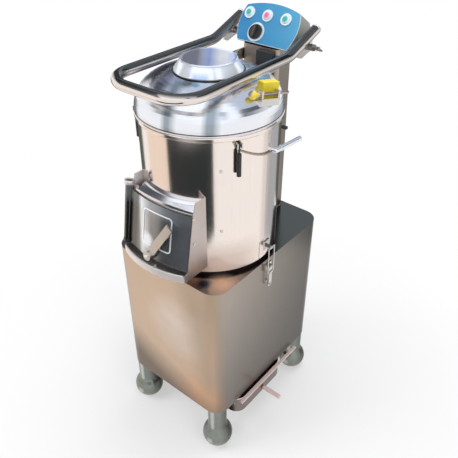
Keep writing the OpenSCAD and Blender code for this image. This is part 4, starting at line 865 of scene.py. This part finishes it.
rightTrim = {
    "feedTurn": (62.0, 94.0), "feedReach": 0.1778, "feedTop": 0.972, "feedFoot": 0.938, "feedR": 0.0022,
    "boltAt": (0.1330, 0.0930, 0.943), "boltHalf": (0.0080, 0.0045, 0.0040), "weldR": 0.0024,
    "weldPower": 0.30,
}


def makeRightTrim():
    # a wire down the drum's right side, falling as the sine of its way round; a small bolt;
    # the column's weld, a tube on a softened circle stretched to the column's section
    look = rightTrim
    steel = ownFinishes["column"]
    share = np.linspace(0, 1, 40)
    begin, end = look["feedTurn"]
    wire = onDrum(begin + share * (end - begin), look["feedReach"], 0.0)
    wire[:, 2] = look["feedTop"] + (look["feedFoot"] - look["feedTop"]) * np.sin(share * np.pi / 2)
    sweepTube("inletFeed", wire, look["feedR"], steel, "machine", "fitting_steel", sides=12)

    roundedBlock("sideBolt", np.array(look["boltAt"]), np.eye(3), look["boltHalf"], finishes["black_plastic"],
                 "machine", "black_plastic", rows=16, columns=32)

    low, high = (np.array(corner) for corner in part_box("column"))
    middle, half = (low + high) / 2, (high - low) / 2
    turn = np.linspace(0, 2 * np.pi, 120, endpoint=False)
    weld = np.stack((middle[0] + half[0] * softened(np.cos(turn), look["weldPower"]),
                     middle[1] + half[1] * softened(np.sin(turn), look["weldPower"]),
                     np.full_like(turn, low[2] + look["weldR"] * 0.5)), axis=1)
    sweepTube("columnWeld", weld, look["weldR"], steel, "machine", "fitting_steel", sides=10, closed=True)


makeButton("startCap", "start_button", "start", "start_press", buttonLook["green"], "green_cap")
makeButton("stopCap", "stop_button", "stop", "stop_press", buttonLook["pink"], "red_cap")
makeButton("pulseCap", "pulse_button", "pulse", "pulse_press", buttonLook["green"], "green_cap")
makeDial()
makeLidTrim()
makeDoorTrim()
makeRightTrim()
print("controls and trim made")


# stage: floor, cards that only reflections see, lamps and camera
def stageMesh(name, corners):
    mesh = bpy.data.meshes.new(name)
    mesh.from_pydata([tuple(corner) for corner in corners], [], [(0, 1, 2, 3)])
    item = bpy.data.objects.new(name, mesh)
    bpy.context.scene.collection.objects.link(item)
    return item


def stageCard(name, corners, color, strength=1.0):
    card = stageMesh(name, corners)
    material, tree, shader = newFinish(name + "Color")
    tree.nodes.remove(shader)
    glow = addNode(tree, "ShaderNodeEmission")
    feed(tree, glow.inputs["Color"], (*color, 1))
    feed(tree, glow.inputs["Strength"], strength)
    feed(tree, tree.nodes["Material Output"].inputs["Surface"], glow.outputs[0])
    card.data.materials.append(material)
    card.visible_camera = card.visible_diffuse = card.visible_shadow = False


def standingCard(name, turn, away, half, low, high, color, strength=1.0):
    # an upright card; turn is the direction from the drum, 0 in front and 90 to the right
    angle = math.radians(turn)
    foot = Vector(drumAxis) + Vector((math.sin(angle), -math.cos(angle), 0)) * away
    side = Vector((math.cos(angle), math.sin(angle), 0)) * half
    corners = [foot + side * x + Vector((0, 0, z)) for x, z in ((-1, low), (1, low), (1, high), (-1, high))]
    stageCard(name, corners, color, strength)


def levelCard(name, x0, x1, y0, y1, z, color, strength=1.0):
    stageCard(name, [(x0, y0, z), (x1, y0, z), (x1, y1, z), (x0, y1, z)], color, strength)


def seenBy(tree, *rays):
    # 1 for the named kinds of ray, 0 for the others
    path = addNode(tree, "ShaderNodeLightPath")
    mask = path.outputs[rays[0]]
    for ray in rays[1:]:
        mask = maths(tree, "MAXIMUM", mask, path.outputs[ray])
    return mask


floorLook = {"half": 9.0, "tone": (0.88, 0.88, 0.88), "rough": 0.9, "clear": (0.35, 1.0),
             "share": (0.45, 1.0)}


def makeFloor():
    # pale floor: lit near the machine so that its shadow shows, plain white further out
    look = floorLook
    half = look["half"]
    floor = stageMesh("studioFloor", [(-half, -half, 0), (half, -half, 0), (half, half, 0), (-half, half, 0)])
    material, tree, shader = newFinish("paleFloor")
    feed(tree, shader.inputs["Base Color"], (*look["tone"], 1))
    feed(tree, shader.inputs["Roughness"], look["rough"])
    far = remap(tree, vectors(tree, "LENGTH", coordinates(tree)), *look["clear"], *look["share"])
    blend = addNode(tree, "ShaderNodeMixShader")
    share = times(tree, seenBy(tree, "Is Camera Ray", "Is Glossy Ray"), far)
    white = addNode(tree, "ShaderNodeEmission").outputs[0]
    for socket, value in zip(blend.inputs, (share, shader.outputs[0], white)):
        feed(tree, socket, value)
    feed(tree, tree.nodes["Material Output"].inputs["Surface"], blend.outputs[0])
    floor.data.materials.append(material)


def makeWorld():
    # grey daylight for the object, plain white wherever it is seen directly or mirrored
    world = bpy.data.worlds.new("studioWorld")
    bpy.context.scene.world = world
    world.use_nodes = True
    tree = world.node_tree
    seen = seenBy(tree, "Is Camera Ray", "Is Glossy Ray", "Is Transmission Ray")
    color = mixColors(tree, "MIX", seen, (0.42, 0.43, 0.45, 1), (1, 1, 1, 1))
    feed(tree, tree.nodes["Background"].inputs["Color"], color)
    ownTrees.append(tree)


def areaLamp(name, place, aim, size, power):
    data = bpy.data.lights.new(name, "AREA")
    data.size, data.energy = size, power
    lamp = bpy.data.objects.new(name, data)
    bpy.context.scene.collection.objects.link(lamp)
    lamp.location = place
    lamp.rotation_euler = (Vector(aim) - Vector(place)).to_track_quat("-Z", "Y").to_euler()
    lamp.visible_glossy = False


cameraLook = {"place": (0.838, -0.990, 1.541), "turn": 39.22, "down": 35.27, "lens": 43.94,
              "clip": (0.05, 60.0)}


def makeCamera():
    look = cameraLook
    data = bpy.data.cameras.new("studioCamera")
    data.lens, data.sensor_width = look["lens"], 36.0
    data.clip_start, data.clip_end = look["clip"]
    camera = bpy.data.objects.new("studioCamera", data)
    bpy.context.scene.collection.objects.link(camera)
    camera.location = look["place"]
    turn, down = math.radians(look["turn"]), math.radians(look["down"])
    forward = Vector((-math.sin(turn) * math.cos(down), math.cos(turn) * math.cos(down), -math.sin(down)))
    camera.rotation_mode = "QUATERNION"
    camera.rotation_quaternion = forward.to_track_quat("-Z", "Y")
    bpy.context.scene.camera = camera


makeFloor()
makeWorld()
areaLamp("keyLamp", (-1.9, -2.0, 2.6), (0, 0, 0.6), 1.8, 55)
areaLamp("fillLamp", (2.4, -0.9, 2.0), (0, 0, 0.7), 1.6, 22)
areaLamp("topLamp", (0.2, 0.6, 3.0), (0, 0, 0.9), 1.6, 35)
levelCard("ceilingCard", -5.0, 5.0, -5.0, 5.0, 3.2, (0.075, 0.080, 0.090))
levelCard("overheadBox", -1.3, 5.0, -5.0, 0.1, 3.0, (0.93, 0.96, 1.0), 1.2)
standingCard("backBox", 219, 2.6, 1.3, 1.9, 3.1, (0.80, 0.88, 1.0), 1.1)
standingCard("frontFlag", 11, 0.63, 0.42, 0.34, 0.78, (0.030, 0.035, 0.038))
standingCard("leftRearFlag", 234, 1.5, 0.45, 0.95, 1.9, (0.10, 0.10, 0.14))
standingCard("legLeft", -36, 1.6, 0.10, 1.5, 2.7, (0.30, 0.36, 0.44))
standingCard("legRight", 64, 1.6, 0.16, 2.0, 3.0, (0.30, 0.36, 0.44))
levelCard("rearCeiling", -2.2, 2.2, 0.1, 2.4, 3.05, (0.62, 0.68, 0.80), 0.9)
standingCard("backFlag", 219, 1.0, 1.3, 0.0, 0.85, (0.10, 0.11, 0.10))
standingCard("rightVeil", 131, 1.0, 0.07, 0.0, 0.9, (0.80, 0.77, 0.75))
standingCard("rightShade", 138, 1.0, 0.06, 0.0, 0.9, (0.64, 0.64, 0.65))
standingCard("rightFlag", 156, 1.0, 0.30, 0.0, 0.9, (0.42, 0.45, 0.48))
standingCard("leftWarmCard", -39, 1.2, 0.7, 0.0, 0.6, (0.92, 0.80, 0.70))
makeCamera()
bpy.context.scene.view_settings.view_transform = "Standard"
print("stage set")


def layOut(tree):
    # spreads a tree for reading: a node's column is its longest way to the end,
    # its row its turn in that column
    column, rows = {}, {}
    ends = [node for node in tree.nodes if not any(socket.is_linked for socket in node.outputs)]
    queue = [(node, 0) for node in ends]
    while queue:
        node, depth = queue.pop()
        if column.get(node.name, -1) < depth:
            column[node.name] = depth
            queue += [(link.from_node, depth + 1) for socket in node.inputs for link in socket.links]
    for node in tree.nodes:
        depth = column[node.name]
        node.location = (-220 * depth, -190 * rows.setdefault(depth, 0))
        rows[depth] += 1


for ownTree in ownTrees:
    layOut(ownTree)
print("node trees laid out:", len(ownTrees))
